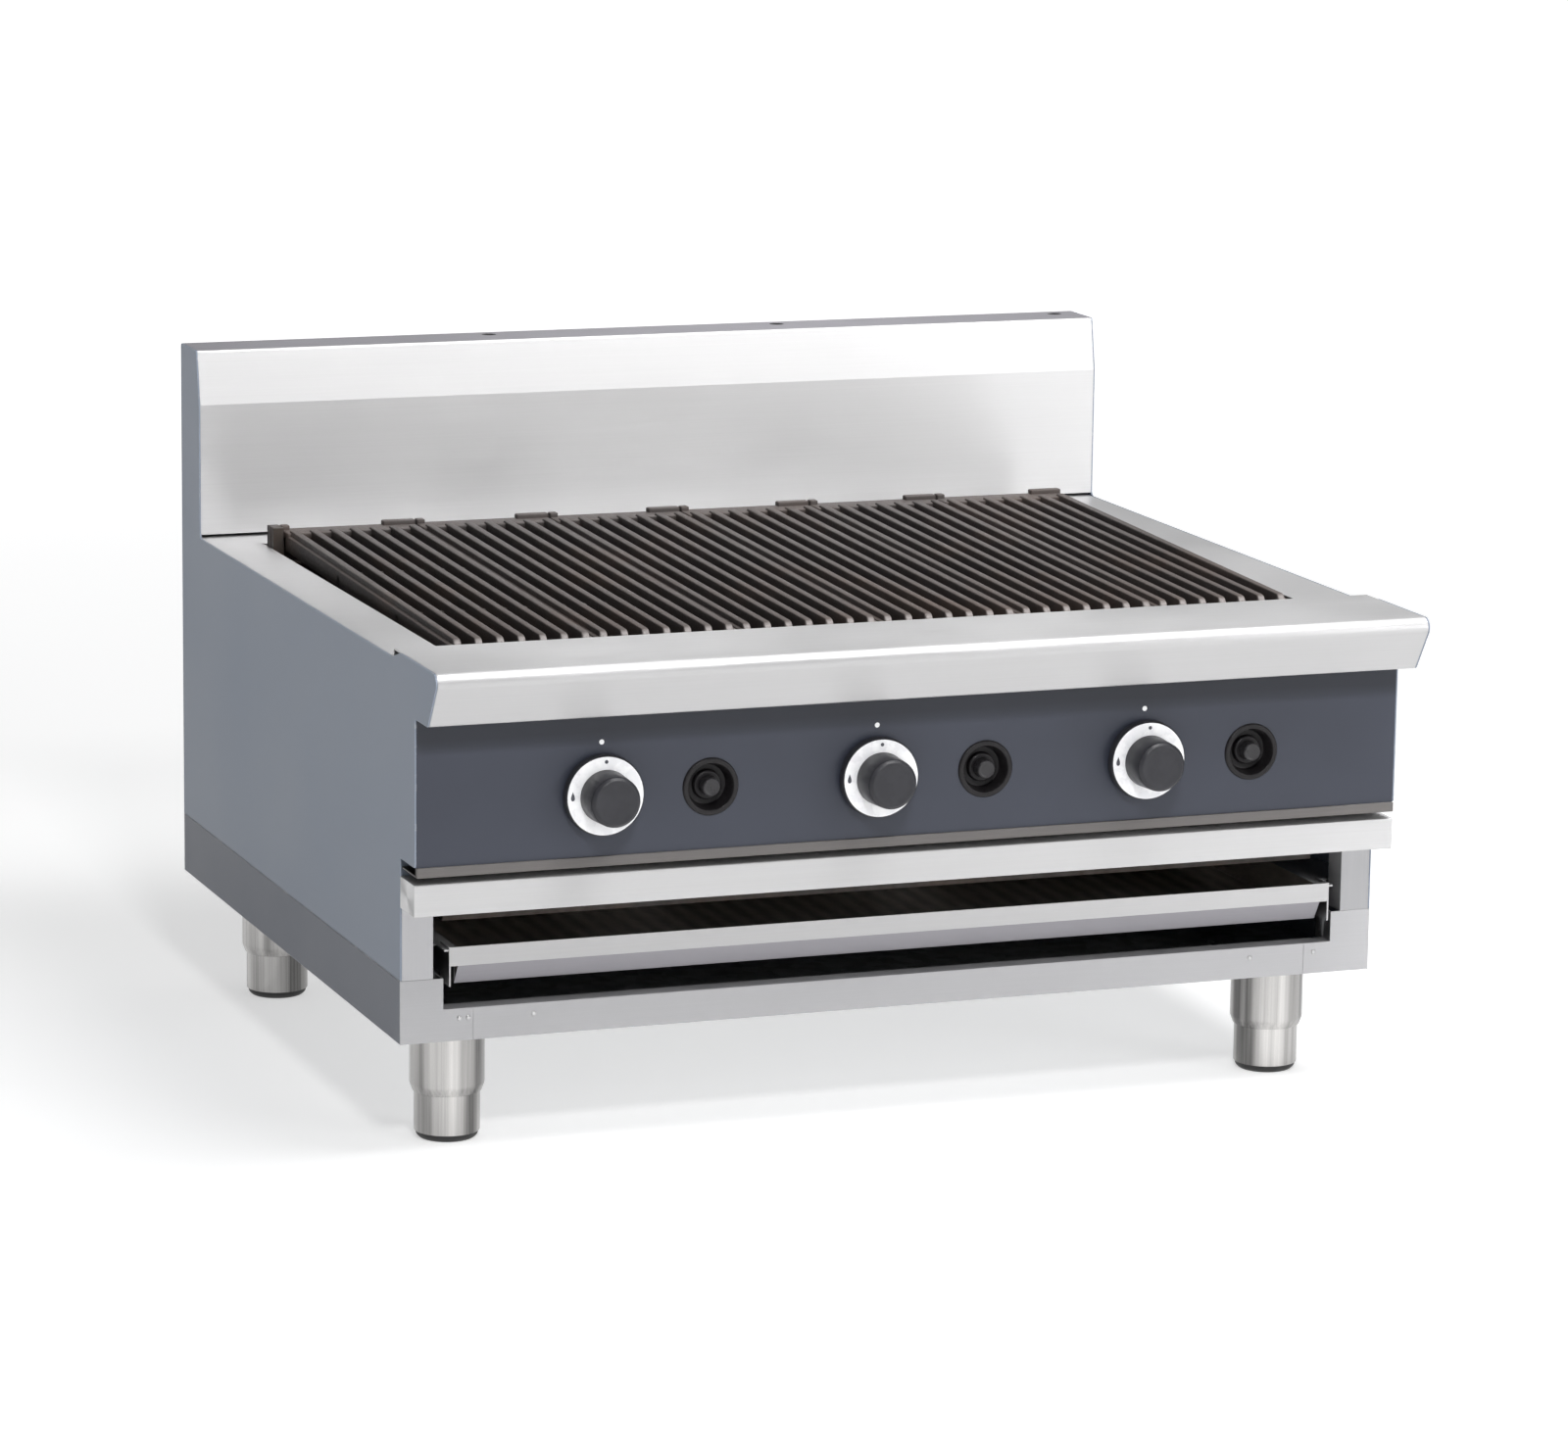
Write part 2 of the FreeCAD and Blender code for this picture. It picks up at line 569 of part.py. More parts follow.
def knob_dial(x):
    skirt = cone((x, DIAL_Y[1], CONTROL_Z), (0, -1, 0), DIAL_RADIUS, DIAL_RADIUS - 1.2, DIAL_Y[1] - DIAL_Y[0])
    bore = rod((x, DIAL_Y[0] - 1, CONTROL_Z), (0, 1, 0), 15.05, 20)
    return skirt.cut(bore)


def knob_cap(x):
    length = DIAL_Y[0] - CAP_FRONT_Y
    grip = cone((x, DIAL_Y[0], CONTROL_Z), (0, -1, 0), CAP_RADIUS + 0.5, CAP_RADIUS - 0.5, length)
    front_edge = [e for e in grip.Edges if e.BoundBox.YLength < 0.01 and abs(e.BoundBox.YMin - CAP_FRONT_Y) < 0.01]
    grip = grip.makeChamfer(2.4, front_edge)
    hub = rod((x, DIAL_Y[0], CONTROL_Z), (0, 1, 0), 15, DIAL_Y[1] - DIAL_Y[0])
    bore = rod((x, -370, CONTROL_Z), (0, 1, 0), STEM_RADIUS + RUNNING_FIT, 30)
    flat = box((x - 6, x + 6), (-372, -340), (CONTROL_Z + 2.5 + RUNNING_FIT, CONTROL_Z + 6))
    return joined([grip, hub]).cut(bore.cut(flat))


def igniter_housing(x):
    bezel = rod((x, PANEL_Y - 2, CONTROL_Z), (0, 1, 0), 25, 2)
    edge = [e for e in bezel.Edges if abs(e.BoundBox.YMin - (PANEL_Y - 2)) < 0.01 and e.BoundBox.YLength < 0.01]
    bezel = bezel.makeFillet(1.2, edge)
    barrel = rod((x, PANEL_Y, CONTROL_Z), (0, 1, 0), 21.5, 27)
    cup = cone((x, PANEL_Y - 3, CONTROL_Z), (0, 1, 0), 20.5, 17.5, 15)
    collar = rod((x, PANEL_Y + 6, CONTROL_Z), (0, 1, 0), 12.5, 8)
    bore = rod((x, PANEL_Y - 5, CONTROL_Z), (0, 1, 0), 8.3, 60)
    return joined([joined([bezel, barrel]).cut(cup), collar]).cut(bore)


def igniter_button(x):
    front_y = PANEL_Y - 4
    cap = rod((x, front_y, CONTROL_Z), (0, 1, 0), 8, 25)
    front_edge = [e for e in cap.Edges if abs(e.BoundBox.YMin - front_y) < 0.01 and e.BoundBox.YLength < 0.01]
    cap = cap.makeFillet(1.0, front_edge)
    rear_stop = rod((x, PANEL_Y + 27, CONTROL_Z), (0, 1, 0), 10, 2)
    shank = rod((x, PANEL_Y + 20, CONTROL_Z), (0, 1, 0), 6, 8)
    return joined([cap, shank, rear_stop])


def drip_tray():
    front, rear = TRAY_Y
    floor_front = FRAME_Y + 9
    wall_z = (TRAY_Z[0], RUNNER_TOP_Z + SHEET)
    floor = box((-TRAY_X, TRAY_X), (floor_front, rear), (TRAY_Z[0], TRAY_Z[0] + SHEET))
    walls = [box((s * (TRAY_X - SHEET), s * TRAY_X), (floor_front, rear), wall_z) for s in (-1, 1)]
    flanges = [box((s * (TRAY_X - SHEET), s * 412), (front + 1, rear), (RUNNER_TOP_Z, RUNNER_TOP_Z + SHEET))
               for s in (-1, 1)]
    rear_wall = box((-TRAY_X, TRAY_X), (rear - SHEET, rear), wall_z)
    lower_front = prism(
        [(floor_front, TRAY_Z[0]), (floor_front + 1.8, TRAY_Z[0]), (front + 2.3, 169), (front + 0.5, 169)],
        (-TRAY_X, TRAY_X))
    upper_front = box((-TRAY_FRONT_X, TRAY_FRONT_X), (front, front + SHEET), (168, TRAY_Z[1]))
    returns = [box((s * (TRAY_FRONT_X - SHEET), s * TRAY_FRONT_X), (front, front + TRAY_FRONT_DEPTH), TRAY_Z)
               for s in (-1, 1)]
    return joined([floor, rear_wall, lower_front, upper_front] + walls + flanges + returns)


def tray_runners():
    runners = []
    for s in (-1, 1):
        shelf = box((s * 404, s * 447), (FRAME_Y + 28, 375), (RUNNER_TOP_Z - SHEET, RUNNER_TOP_Z))
        leg = box((s * 447, s * INNER_X), (FRAME_Y + 28, 375), (SEAM_Z + 2, RUNNER_TOP_Z))
        runners.append(joined([shelf, leg]))
    return group(runners)


def all_parts():
    parts = {
        "back_panel": back_panel(), "splashback": splashback(), "flange_plugs": flange_plugs(),
        "hob_deck": hob_deck(), "firebox": firebox(), "grate_rests": grate_rests(),
        "burner_beams": burner_beams(), "pilot_burners": pilot_burners(),
        "control_panel": control_panel(), "panel_lip": panel_lip(), "front_rail": front_rail(),
        "base_front": base_front(), "base_rear_rail": base_rear_rail(), "base_rivets": base_rivets(),
        "base_floor": base_floor(), "leg_sleeves": leg_sleeves(),
        "gas_manifold": gas_manifold(), "gas_inlet": gas_inlet(),
        "drip_tray": drip_tray(), "tray_runners": tray_runners(),
    }
    for name, side in SIDES.items():
        parts[name + "_side_panel"] = side_panel(side)
        parts[name + "_stile"] = stile(side)
        parts[name + "_base_side"] = base_side(side)
    for index in range(GRATE_COUNT):
        parts["grate_" + str(index + 1)] = grate(index)
    for index, place in enumerate(PLACES):
        x = KNOB_X[index]
        parts["burner_" + place] = burner(index)
        parts["radiant_" + place] = radiant(index)
        parts["gas_valve_" + place] = gas_valve(x)
        parts["valve_stem_" + place] = valve_stem(x)
        parts["knob_dial_" + place] = knob_dial(x)
        parts["knob_cap_" + place] = knob_cap(x)
        parts["igniter_housing_" + place] = igniter_housing(IGNITER_X[index])
        parts["igniter_button_" + place] = igniter_button(IGNITER_X[index])
    for side, end, x, y in leg_places():
        parts["leg_foot_" + end + "_" + side] = leg_foot(x, y)
    return parts


os.makedirs("parts", exist_ok=True)
for node, shape in all_parts().items():
    print(node, len(shape.Solids), shape.isValid(), round(shape.Volume / 1000, 1))
    shape.exportStep("parts/" + node + ".step")
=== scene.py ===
"""Looks of the countertop charbroiler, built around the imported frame.  Lengths are in metres."""
import json
import math
import random

import bmesh
import bpy
from mathutils import Matrix, Vector


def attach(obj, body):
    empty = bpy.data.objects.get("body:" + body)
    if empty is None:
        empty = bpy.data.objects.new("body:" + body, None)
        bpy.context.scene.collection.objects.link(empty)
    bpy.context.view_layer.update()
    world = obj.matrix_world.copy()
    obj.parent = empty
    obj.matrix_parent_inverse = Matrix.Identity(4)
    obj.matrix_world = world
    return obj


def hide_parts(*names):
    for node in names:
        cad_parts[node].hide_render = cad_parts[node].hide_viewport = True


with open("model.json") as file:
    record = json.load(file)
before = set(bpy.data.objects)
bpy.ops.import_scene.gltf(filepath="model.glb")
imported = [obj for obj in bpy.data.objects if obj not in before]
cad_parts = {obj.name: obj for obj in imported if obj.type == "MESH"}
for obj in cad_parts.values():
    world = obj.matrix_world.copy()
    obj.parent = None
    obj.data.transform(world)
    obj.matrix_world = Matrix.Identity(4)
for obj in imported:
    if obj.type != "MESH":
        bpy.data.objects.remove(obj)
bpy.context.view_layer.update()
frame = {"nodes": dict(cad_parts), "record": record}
body_of = {node: body for body, nodes in frame["record"]["behaviour"]["bodies"].items() for node in nodes}
slot_of = {entry["node"]: entry["material_slot"] for entry in frame["record"]["subparts"]}

PLACES = ("left", "middle", "right")
BAR_PITCH = 0.019

# Where most values of a noise texture lie, and the whole range of a factor.
NOISE_SPAN = (0.3, 0.7)
WHOLE = (0.0, 1.0)

RANGE_SOCKETS = ("From Min", "From Max", "To Min", "To Max")

# Places of the colour sockets on a Mix node.
MIX_FIRST = 6
MIX_SECOND = 7
MIX_RESULT = 2

# Edges sharper than so many degrees stay sharp in shading, or are rounded off.
SMOOTH_SHEET = 30
SMOOTH_TURNED = 32
SMOOTH_ROUNDED = 50
ROUNDED_EDGE = 40


# ---------------------------------------------------------------- shader helpers

class Shader:
    """One Principled material whose inputs are fed by small node chains."""

    def __init__(self, name, color, metallic=0.0, roughness=0.5, **sockets):
        self.material = bpy.data.materials.new(name)
        self.material.use_nodes = True
        self.tree = self.material.node_tree
        self.tree.nodes.clear()
        output = self.tree.nodes.new("ShaderNodeOutputMaterial")
        self.bsdf = self.tree.nodes.new("ShaderNodeBsdfPrincipled")
        self.tree.links.new(self.bsdf.outputs["BSDF"], output.inputs["Surface"])
        self.bsdf.inputs["Base Color"].default_value = (*color, 1)
        self.bsdf.inputs["Metallic"].default_value = metallic
        self.bsdf.inputs["Roughness"].default_value = roughness
        for socket, value in sockets.items():
            self.bsdf.inputs[socket.replace("_", " ")].default_value = value
        self.coordinates = self.tree.nodes.new("ShaderNodeTexCoord").outputs["Object"]

    def link(self, output, target):
        self.tree.links.new(output, target)

    def noise(self, scale, detail=3.0, roughness=0.55, offset=(0, 0, 0)):
        """Noise whose grain is set by cycles per metre along X, Y and Z."""
        mapping = self.tree.nodes.new("ShaderNodeMapping")
        mapping.inputs["Scale"].default_value = scale
        mapping.inputs["Location"].default_value = offset
        self.link(self.coordinates, mapping.inputs["Vector"])
        texture = self.tree.nodes.new("ShaderNodeTexNoise")
        texture.inputs["Scale"].default_value = 1.0
        texture.inputs["Detail"].default_value = detail
        texture.inputs["Roughness"].default_value = roughness
        self.link(mapping.outputs["Vector"], texture.inputs["Vector"])
        return texture.outputs["Fac"]

    def ranged(self, value, from_range, to_range):
        """A value carried in proportion from one range to another, and held at its ends."""
        node = self.tree.nodes.new("ShaderNodeMapRange")
        for socket, number in zip(RANGE_SOCKETS, from_range + to_range):
            node.inputs[socket].default_value = number
        self.link(value, node.inputs["Value"])
        return node.outputs["Result"]

    def combined(self, operation, first, second):
        """Arithmetic on two values, each a number or another node's output."""
        node = self.tree.nodes.new("ShaderNodeMath")
        node.operation = operation
        for socket, value in zip(node.inputs, (first, second)):
            if isinstance(value, (int, float)):
                socket.default_value = value
            else:
                self.link(value, socket)
        return node.outputs[0]

    def mixed(self, factor, first, second):
        """From the first colour to the second as the factor goes from 0 to 1."""
        node = self.tree.nodes.new("ShaderNodeMix")
        node.data_type = "RGBA"
        self.link(factor, node.inputs["Factor"])
        for socket, value in ((node.inputs[MIX_FIRST], first), (node.inputs[MIX_SECOND], second)):
            if isinstance(value, tuple):
                socket.default_value = (*value, 1)
            else:
                self.link(value, socket)
        return node.outputs[MIX_RESULT]

    def position(self):
        node = self.tree.nodes.new("ShaderNodeSeparateXYZ")
        self.link(self.coordinates, node.inputs["Vector"])
        return node.outputs

    def normal(self):
        geometry = self.tree.nodes.new("ShaderNodeNewGeometry")
        node = self.tree.nodes.new("ShaderNodeSeparateXYZ")
        self.link(geometry.outputs["Normal"], node.inputs["Vector"])
        return node.outputs

    def color(self, value):
        self.link(value, self.bsdf.inputs["Base Color"])

    def rough(self, value):
        self.link(value, self.bsdf.inputs["Roughness"])

    def brushed(self, axis):
        """Sets the direction that stretched reflections follow, from a ring round the axis."""
        node = self.tree.nodes.new("ShaderNodeTangent")
        node.direction_type = "RADIAL"
        node.axis = axis
        self.link(node.outputs["Tangent"], self.bsdf.inputs["Tangent"])

    def bump(self, height, strength, distance):
        node = self.tree.nodes.new("ShaderNodeBump")
        node.inputs["Strength"].default_value = strength
        node.inputs["Distance"].default_value = distance
        self.link(height, node.inputs["Height"])
        self.link(node.outputs["Normal"], self.bsdf.inputs["Normal"])


def brushed_steel(name, color, roughness, grain=(3, 800, 800), axis="X", streak=0.018, smudge=0.06):
    """Stainless sheet with long fine scratches one way and faint wiping marks."""
    shader = Shader(name, color, metallic=1.0, roughness=roughness, Anisotropic=0.8)
    shader.brushed(axis)
    streaks = shader.noise(grain, detail=5, roughness=0.7)
    fine = shader.noise(tuple(4 * g for g in grain), detail=2, offset=(3, 1, 2))
    wiping = shader.noise((5, 5, 7), detail=4, offset=(1, 4, 9))
    shade = shader.ranged(streaks, NOISE_SPAN, (1 - streak, 1 + streak))
    cloud = shader.ranged(wiping, NOISE_SPAN, (1 - smudge / 2, 1.0))
    tone = shader.combined("MULTIPLY", shade, cloud)
    dark = tuple(c * 0.80 for c in color)
    light = tuple(min(1.0, c * 1.20) for c in color)
    shader.color(shader.mixed(shader.ranged(tone, (0.8, 1.2), WHOLE), dark, light))
    grainy = shader.ranged(fine, NOISE_SPAN, (roughness - 0.05, roughness + 0.06))
    smears = shader.ranged(wiping, (0.35, 0.75), (0.0, smudge))
    shader.rough(shader.combined("ADD", grainy, smears))
    shader.bump(streaks, 0.015, 0.0003)
    return shader.material


def painted(name, color, roughness, dust=0.05, peel=0.05, seam=None, shadow_band=None):
    """Satin powder coat: orange peel, cloudiness and rub marks; dirt at a seam, and painted shadow between
    two heights.
    """
    shader = Shader(name, color, roughness=roughness, Specular_IOR_Level=0.35)
    cloud = shader.noise((4, 4, 4), detail=4)
    grain = shader.noise((900, 900, 900), detail=2)
    rubs = shader.noise((30, 14, 160), detail=5, roughness=0.75, offset=(5, 2, 8))
    light = tuple(min(1.0, c * (1 + dust * 2)) for c in color)
    dark = tuple(c * (1 - dust) for c in color)
    base = shader.mixed(shader.ranged(cloud, NOISE_SPAN, WHOLE), dark, light)
    marks = shader.ranged(rubs, (0.66, 0.80), (0.0, 0.18))
    base = shader.mixed(marks, base, tuple(min(1.0, c * 1.9 + 0.02) for c in color))
    if seam is not None:
        away = shader.combined("ABSOLUTE", shader.combined("SUBTRACT", shader.position()[2], seam), 0)
        base = shader.mixed(shader.ranged(away, (0.0006, 0.0012), (0.85, 0.0)), base, (0.012, 0.012, 0.012))
    # Painted shadow: the colour is darkened between two heights, standing for the shade cast by a part above.
    if shadow_band is not None:
        shadow_edge = shader.combined("ADD", shader.position()[2], shader.combined("MULTIPLY", cloud, 0.006))
        base = shader.mixed(shader.ranged(shadow_edge, shadow_band, (0.0, 0.55)), base, tuple(c * 0.25 for c in color))
    shader.color(base)
    shader.rough(shader.ranged(cloud, NOISE_SPAN, (roughness - 0.05, roughness + 0.07)))
    shader.bump(grain, peel, 0.0004)
    return shader.material


def worn_edge(name, paint, metal, share=0.35):
    """Bare metal chips along a folded edge, which are wear, on paint lightened as a painted highlight."""
    shader = Shader(name, paint, roughness=0.42)
    chips = shader.noise((70, 70, 70), detail=6, roughness=0.8, offset=(2, 2, 2))
    bare = shader.ranged(chips, (0.60 - share / 4, 0.68), WHOLE)
    # The paint along the edge is lightened as a painted highlight; the bare chips are wear.
    edge_highlight = tuple(min(1.0, c * 1.35) for c in paint)
    shader.color(shader.mixed(bare, edge_highlight, metal))
    shader.link(shader.combined("MULTIPLY", bare, 0.7), shader.bsdf.inputs["Metallic"])
    return shader.material


def cast_iron(name, top, side, roughness, rust=0.12, scraped=None):
    """Seasoned casting: pitted skin, upper faces lighter and sides darker as painted light and shade, brown
    heat stain, and front ends scraped bright.
    """
    shader = Shader(name, side, roughness=roughness)
    skin = shader.noise((420, 420, 420), detail=6, roughness=0.7)
    pits = shader.noise((110, 110, 110), detail=4, roughness=0.6, offset=(7, 3, 1))
    stain = shader.noise((9, 7, 9), detail=4, offset=(4, 4, 4))
    # Upper faces take the lighter top colour and sides the darker side colour: painted light and shade.
    facing = shader.ranged(shader.normal()[2], (0.35, 0.95), WHOLE)
    base = shader.mixed(facing, side, top)
    warm = tuple(c * f for c, f in zip(top, (1.25, 0.98, 0.80)))
    base = shader.mixed(shader.ranged(stain, (0.48, 0.72), (0.0, rust * 4)), base, warm)
    if scraped is not None:
        bare = shader.combined("MULTIPLY", shader.ranged(shader.position()[1], scraped, (0.75, 0.0)),
                               shader.ranged(skin, (0.35, 0.55), (0.5, 1.0)))
        base = shader.mixed(bare, base, (0.34, 0.31, 0.30))
    grit = shader.ranged(skin, (0.60, 0.78), (0.0, 0.35))
    shader.color(shader.mixed(grit, base, tuple(c * 1.9 for c in top)))
    shader.rough(shader.ranged(skin, NOISE_SPAN, (roughness - 0.10, roughness + 0.12)))
    shader.bump(shader.combined("ADD", skin, pits), 0.35, 0.0006)
    return shader.material


def moulded(name, color, roughness, grain=0.05, wear=0.35, shine=0.5):
    """Moulded plastic with a fine spark-eroded grain and rubbed, shinier patches."""
    shader = Shader(name, color, roughness=roughness, Specular_IOR_Level=shine)
    texture = shader.noise((1600, 1600, 1600), detail=2)
    handling = shader.noise((90, 90, 90), detail=4, offset=(8, 1, 5))
    shader.rough(shader.ranged(handling, (0.35, 0.7), (roughness - wear * 0.3, roughness + 0.08)))
    light = tuple(min(1.0, c * 1.25 + 0.004) for c in color)
    shader.color(shader.mixed(shader.ranged(handling, (0.4, 0.75), (0.0, 0.8)), color, light))
    shader.bump(texture, grain, 0.0003)
    return shader.material


def spangled(name, color, roughness):
    """Metal with a soft crystal spangle: zinc-coated sheet, and brass."""
    shader = Shader(name, color, metallic=1.0, roughness=roughness)
    cells = shader.tree.nodes.new("ShaderNodeTexVoronoi")
    cells.inputs["Scale"].default_value = 90
    shader.link(shader.coordinates, cells.inputs["Vector"])
    tint = shader.tree.nodes.new("ShaderNodeSeparateColor")
    shader.link(cells.outputs["Color"], tint.inputs["Color"])
    dull = shader.noise((6, 6, 6), detail=4)
    dark = tuple(c * 0.82 for c in color)
    light = tuple(min(1.0, c * 1.12) for c in color)
    shader.color(shader.mixed(tint.outputs["Red"], dark, light))
    shader.rough(shader.combined("ADD", shader.ranged(tint.outputs["Green"], WHOLE,
                 (roughness - 0.06, roughness + 0.06)), shader.ranged(dull, NOISE_SPAN, (0.0, 0.08))))
    shader.bump(tint.outputs["Blue"], 0.04, 0.0003)
    return shader.material


def sooty_sheet(name, color, roughness):
    """Inner sheet, blackened and baked by use, with greasy patches."""
    shader = Shader(name, color, metallic=0.35, roughness=roughness)
    grease = shader.noise((16, 16, 22), detail=6, roughness=0.7)
    runs = shader.noise((140, 140, 9), detail=4, offset=(2, 6, 1))
    brown = tuple(c * f for c, f in zip(color, (1.7, 1.35, 1.1)))
    shader.color(shader.mixed(shader.ranged(grease, (0.4, 0.7), WHOLE), color, brown))
    shader.rough(shader.ranged(runs, (0.35, 0.7), (roughness - 0.15, roughness + 0.15)))
    shader.bump(grease, 0.12, 0.001)
    return shader.material


def baked_fat(name, color, roughness):
    """Tray sheet under a brown skin of fat, with faint stripes below the grate's bars as painted shadow of
    the bars.
    """
    shader = Shader(name, color, metallic=0.8, roughness=roughness)
    # Stripes at the bar pitch stand for the bars' shadow on the tray: painted shadow.
    across = shader.combined("MULTIPLY", shader.position()[0], 2 * math.pi / BAR_PITCH)
    bar_shadow_stripes = shader.combined("SINE", across, 0)
    pools = shader.noise((22, 9, 22), detail=5, roughness=0.65)
    fat_and_bar_shadow = shader.combined("ADD", shader.combined("MULTIPLY", bar_shadow_stripes, 0.12), pools)
    dark = tuple(c * 0.70 for c in color)
    shader.color(shader.mixed(shader.ranged(fat_and_bar_shadow, (0.34, 0.68), WHOLE), dark, color))
    shader.rough(shader.ranged(pools, (0.35, 0.7), (roughness + 0.12, roughness - 0.12)))
    shader.bump(pools, 0.10, 0.001)
    return shader.material


def polished_tube(name, color, roughness):
    """Drawn stainless tube, polished lengthwise, with broad dark and light bands as painted reflections, and
    fine scratches.
    """
    shader = Shader(name, color, metallic=1.0, roughness=roughness, Anisotropic=0.6)
    shader.brushed("X")
    # Broad dark and light bands round the tube stand for reflections: painted reflection.
    painted_reflection_bands = shader.noise((42, 42, 0.6), detail=2, offset=(1.2, 0.4, 0))
    scratches = shader.noise((700, 700, 7), detail=4)
    tone = shader.combined("ADD", shader.ranged(painted_reflection_bands, (0.36, 0.64), (0.0, 0.8)),
                           shader.ranged(scratches, NOISE_SPAN, (0.0, 0.2)))
    dark = tuple(c * 0.22 for c in color)
    light = tuple(min(1.0, c * 1.25) for c in color)
    shader.color(shader.mixed(tone, dark, light))
    shader.rough(shader.ranged(scratches, NOISE_SPAN, (roughness - 0.04, roughness + 0.06)))
    shader.bump(scratches, 0.05, 0.0003)
    return shader.material


STEEL = (0.520, 0.517, 0.520)
SIDE_PAINT = (0.176, 0.203, 0.250)
BASE_PAINT = (0.106, 0.115, 0.138)
ENAMEL = (0.035, 0.039, 0.054)
BLACK_STEEL = (0.036, 0.031, 0.028)
SIDE_SEAM_Z = 0.1575

paints = {
    "stainless": brushed_steel("stainless_long_grain", STEEL, 0.43),
    # The stiles' steel has upright grain and a tone lower than the other stainless: painted shade.
    "upright_painted_shade_steel": brushed_steel("upright_grain_painted_shade", (0.415, 0.413, 0.424), 0.40,
                                  grain=(420, 420, 3), axis="Z"),
    "deck_steel": brushed_steel("deck_long_grain", STEEL, 0.36),
    # The rail's steel has a tone lighter than the other stainless: painted light.
    "rail_painted_light_steel": brushed_steel("rail_grain_painted_light", (0.570, 0.567, 0.570), 0.42),
    # A darker steel for painted shade: the tray's low downward band, and the splashback's top flange, where
    # it stands for a dark reflection.
    "painted_shade_steel": brushed_steel("painted_shade_grain", (0.330, 0.322, 0.345), 0.42),
    # The base front's steel has a tone lower than the other stainless: painted shade.
    "base_painted_shade_steel": brushed_steel("base_grain_painted_shade", (0.440, 0.438, 0.448), 0.42),
    # The panel lip's dark tone is painted shade.
    "lip_painted_shade_steel": brushed_steel("lip_painted_shade_grain", (0.175, 0.166, 0.162), 0.48),
    "side_paint": painted("side_powder_coat", SIDE_PAINT, 0.46, seam=SIDE_SEAM_Z),
    "base_paint": painted("base_powder_coat", BASE_PAINT, 0.48, seam=SIDE_SEAM_Z),
    # The enamel's top band under the nose is darkened as a painted shadow of the nose.
    "panel_enamel": painted("panel_enamel", ENAMEL, 0.36, dust=0.08, peel=0.04, shadow_band=(0.361, 0.374)),
    "side_edge": worn_edge("side_coat_edge", SIDE_PAINT, STEEL, share=0.2),
    "base_edge": worn_edge("base_coat_edge", BASE_PAINT, STEEL, share=0.5),
    "panel_edge": worn_edge("panel_enamel_edge", ENAMEL, STEEL, share=0.3),
    "galvanised": spangled("galvanised_sheet", (0.52, 0.53, 0.54), 0.42),
    "black_steel": sooty_sheet("baked_black_sheet", BLACK_STEEL, 0.50),
    "tray_fat": baked_fat("baked_tray_fat", (0.760, 0.690, 0.640), 0.45),
    "leg_steel": polished_tube("polished_leg_tube", (0.50, 0.49, 0.48), 0.18),
    "rivet_steel": brushed_steel("rivet_heads", STEEL, 0.30, grain=(300, 300, 300)),
    "plug_black": moulded("black_plug", (0.02, 0.02, 0.02), 0.5),
    "brass": spangled("turned_brass", (0.72, 0.55, 0.25), 0.30),
    "valve_steel": brushed_steel("turned_steel", (0.5, 0.5, 0.5), 0.30, grain=(300, 900, 300)),
    "dial_white": moulded("pearl_dial", (0.80, 0.80, 0.82), 0.28, grain=0.02, wear=0.2),
    "knob_black": moulded("satin_knob", (0.019, 0.019, 0.023), 0.42, shine=0.35),
    "igniter_black": moulded("igniter_housing", (0.010, 0.009, 0.010), 0.42, shine=0.25),
    "button_black": moulded("igniter_button", (0.020, 0.019, 0.021), 0.36, shine=0.4),
    # Top and side colours of the castings: the lighter top is painted light, the darker side painted shade.
    "grate_iron": cast_iron("seasoned_grate_iron", (0.092, 0.078, 0.073), (0.036, 0.029, 0.027), 0.56,
                            scraped=(-0.2425, -0.2385)),
    "burner_iron": cast_iron("heat_dulled_iron", (0.075, 0.064, 0.058), (0.050, 0.042, 0.038), 0.72,
                             rust=0.2),
    "foot_tip": moulded("black_foot_tip", (0.012, 0.012, 0.012), 0.55),
    "print_white": moulded("white_print", (0.86, 0.86, 0.87), 0.5, grain=0.02, wear=0.1),
    "print_dark": moulded("dark_print", (0.060, 0.062, 0.075), 0.5, grain=0.02, wear=0.1),
}


# ---------------------------------------------------------------- mesh helpers

def show(piece, node, material, hides=()):
    """Puts a new piece on the body of a CAD node, with the named material."""
    if material is not None:
        piece.data.materials.clear()
        piece.data.materials.append(paints[material])
    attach(piece, body_of[node])
    if hides:
        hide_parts(*hides)
    return piece


def object_from(mesh_maker, name):
    mesh = bpy.data.meshes.new(name)
    mesh_maker.normal_update()
    mesh_maker.to_mesh(mesh)
    mesh_maker.free()
    piece = bpy.data.objects.new(name, mesh)
    bpy.context.scene.collection.objects.link(piece)
    return piece


def smooth_shaded(piece, angle):
    """Smooth shading that stays sharp across edges of more than this many degrees."""
    for polygon in piece.data.polygons:
        polygon.use_smooth = True
    piece.data.set_sharp_from_angle(angle=math.radians(angle))


def applied(piece):
    """Bakes the modifiers of a piece into its mesh."""
    graph = bpy.context.evaluated_depsgraph_get()
    shaped = piece.evaluated_get(graph)
    mesh = bpy.data.meshes.new_from_object(shaped, preserve_all_data_layers=True, depsgraph=graph)
    piece.modifiers.clear()
    piece.data = mesh
    return piece


# Corners this near become one, and faces that differ by less than this many degrees are merged.
WELD_DISTANCE = 0.00001
FLAT_DEGREES = 1


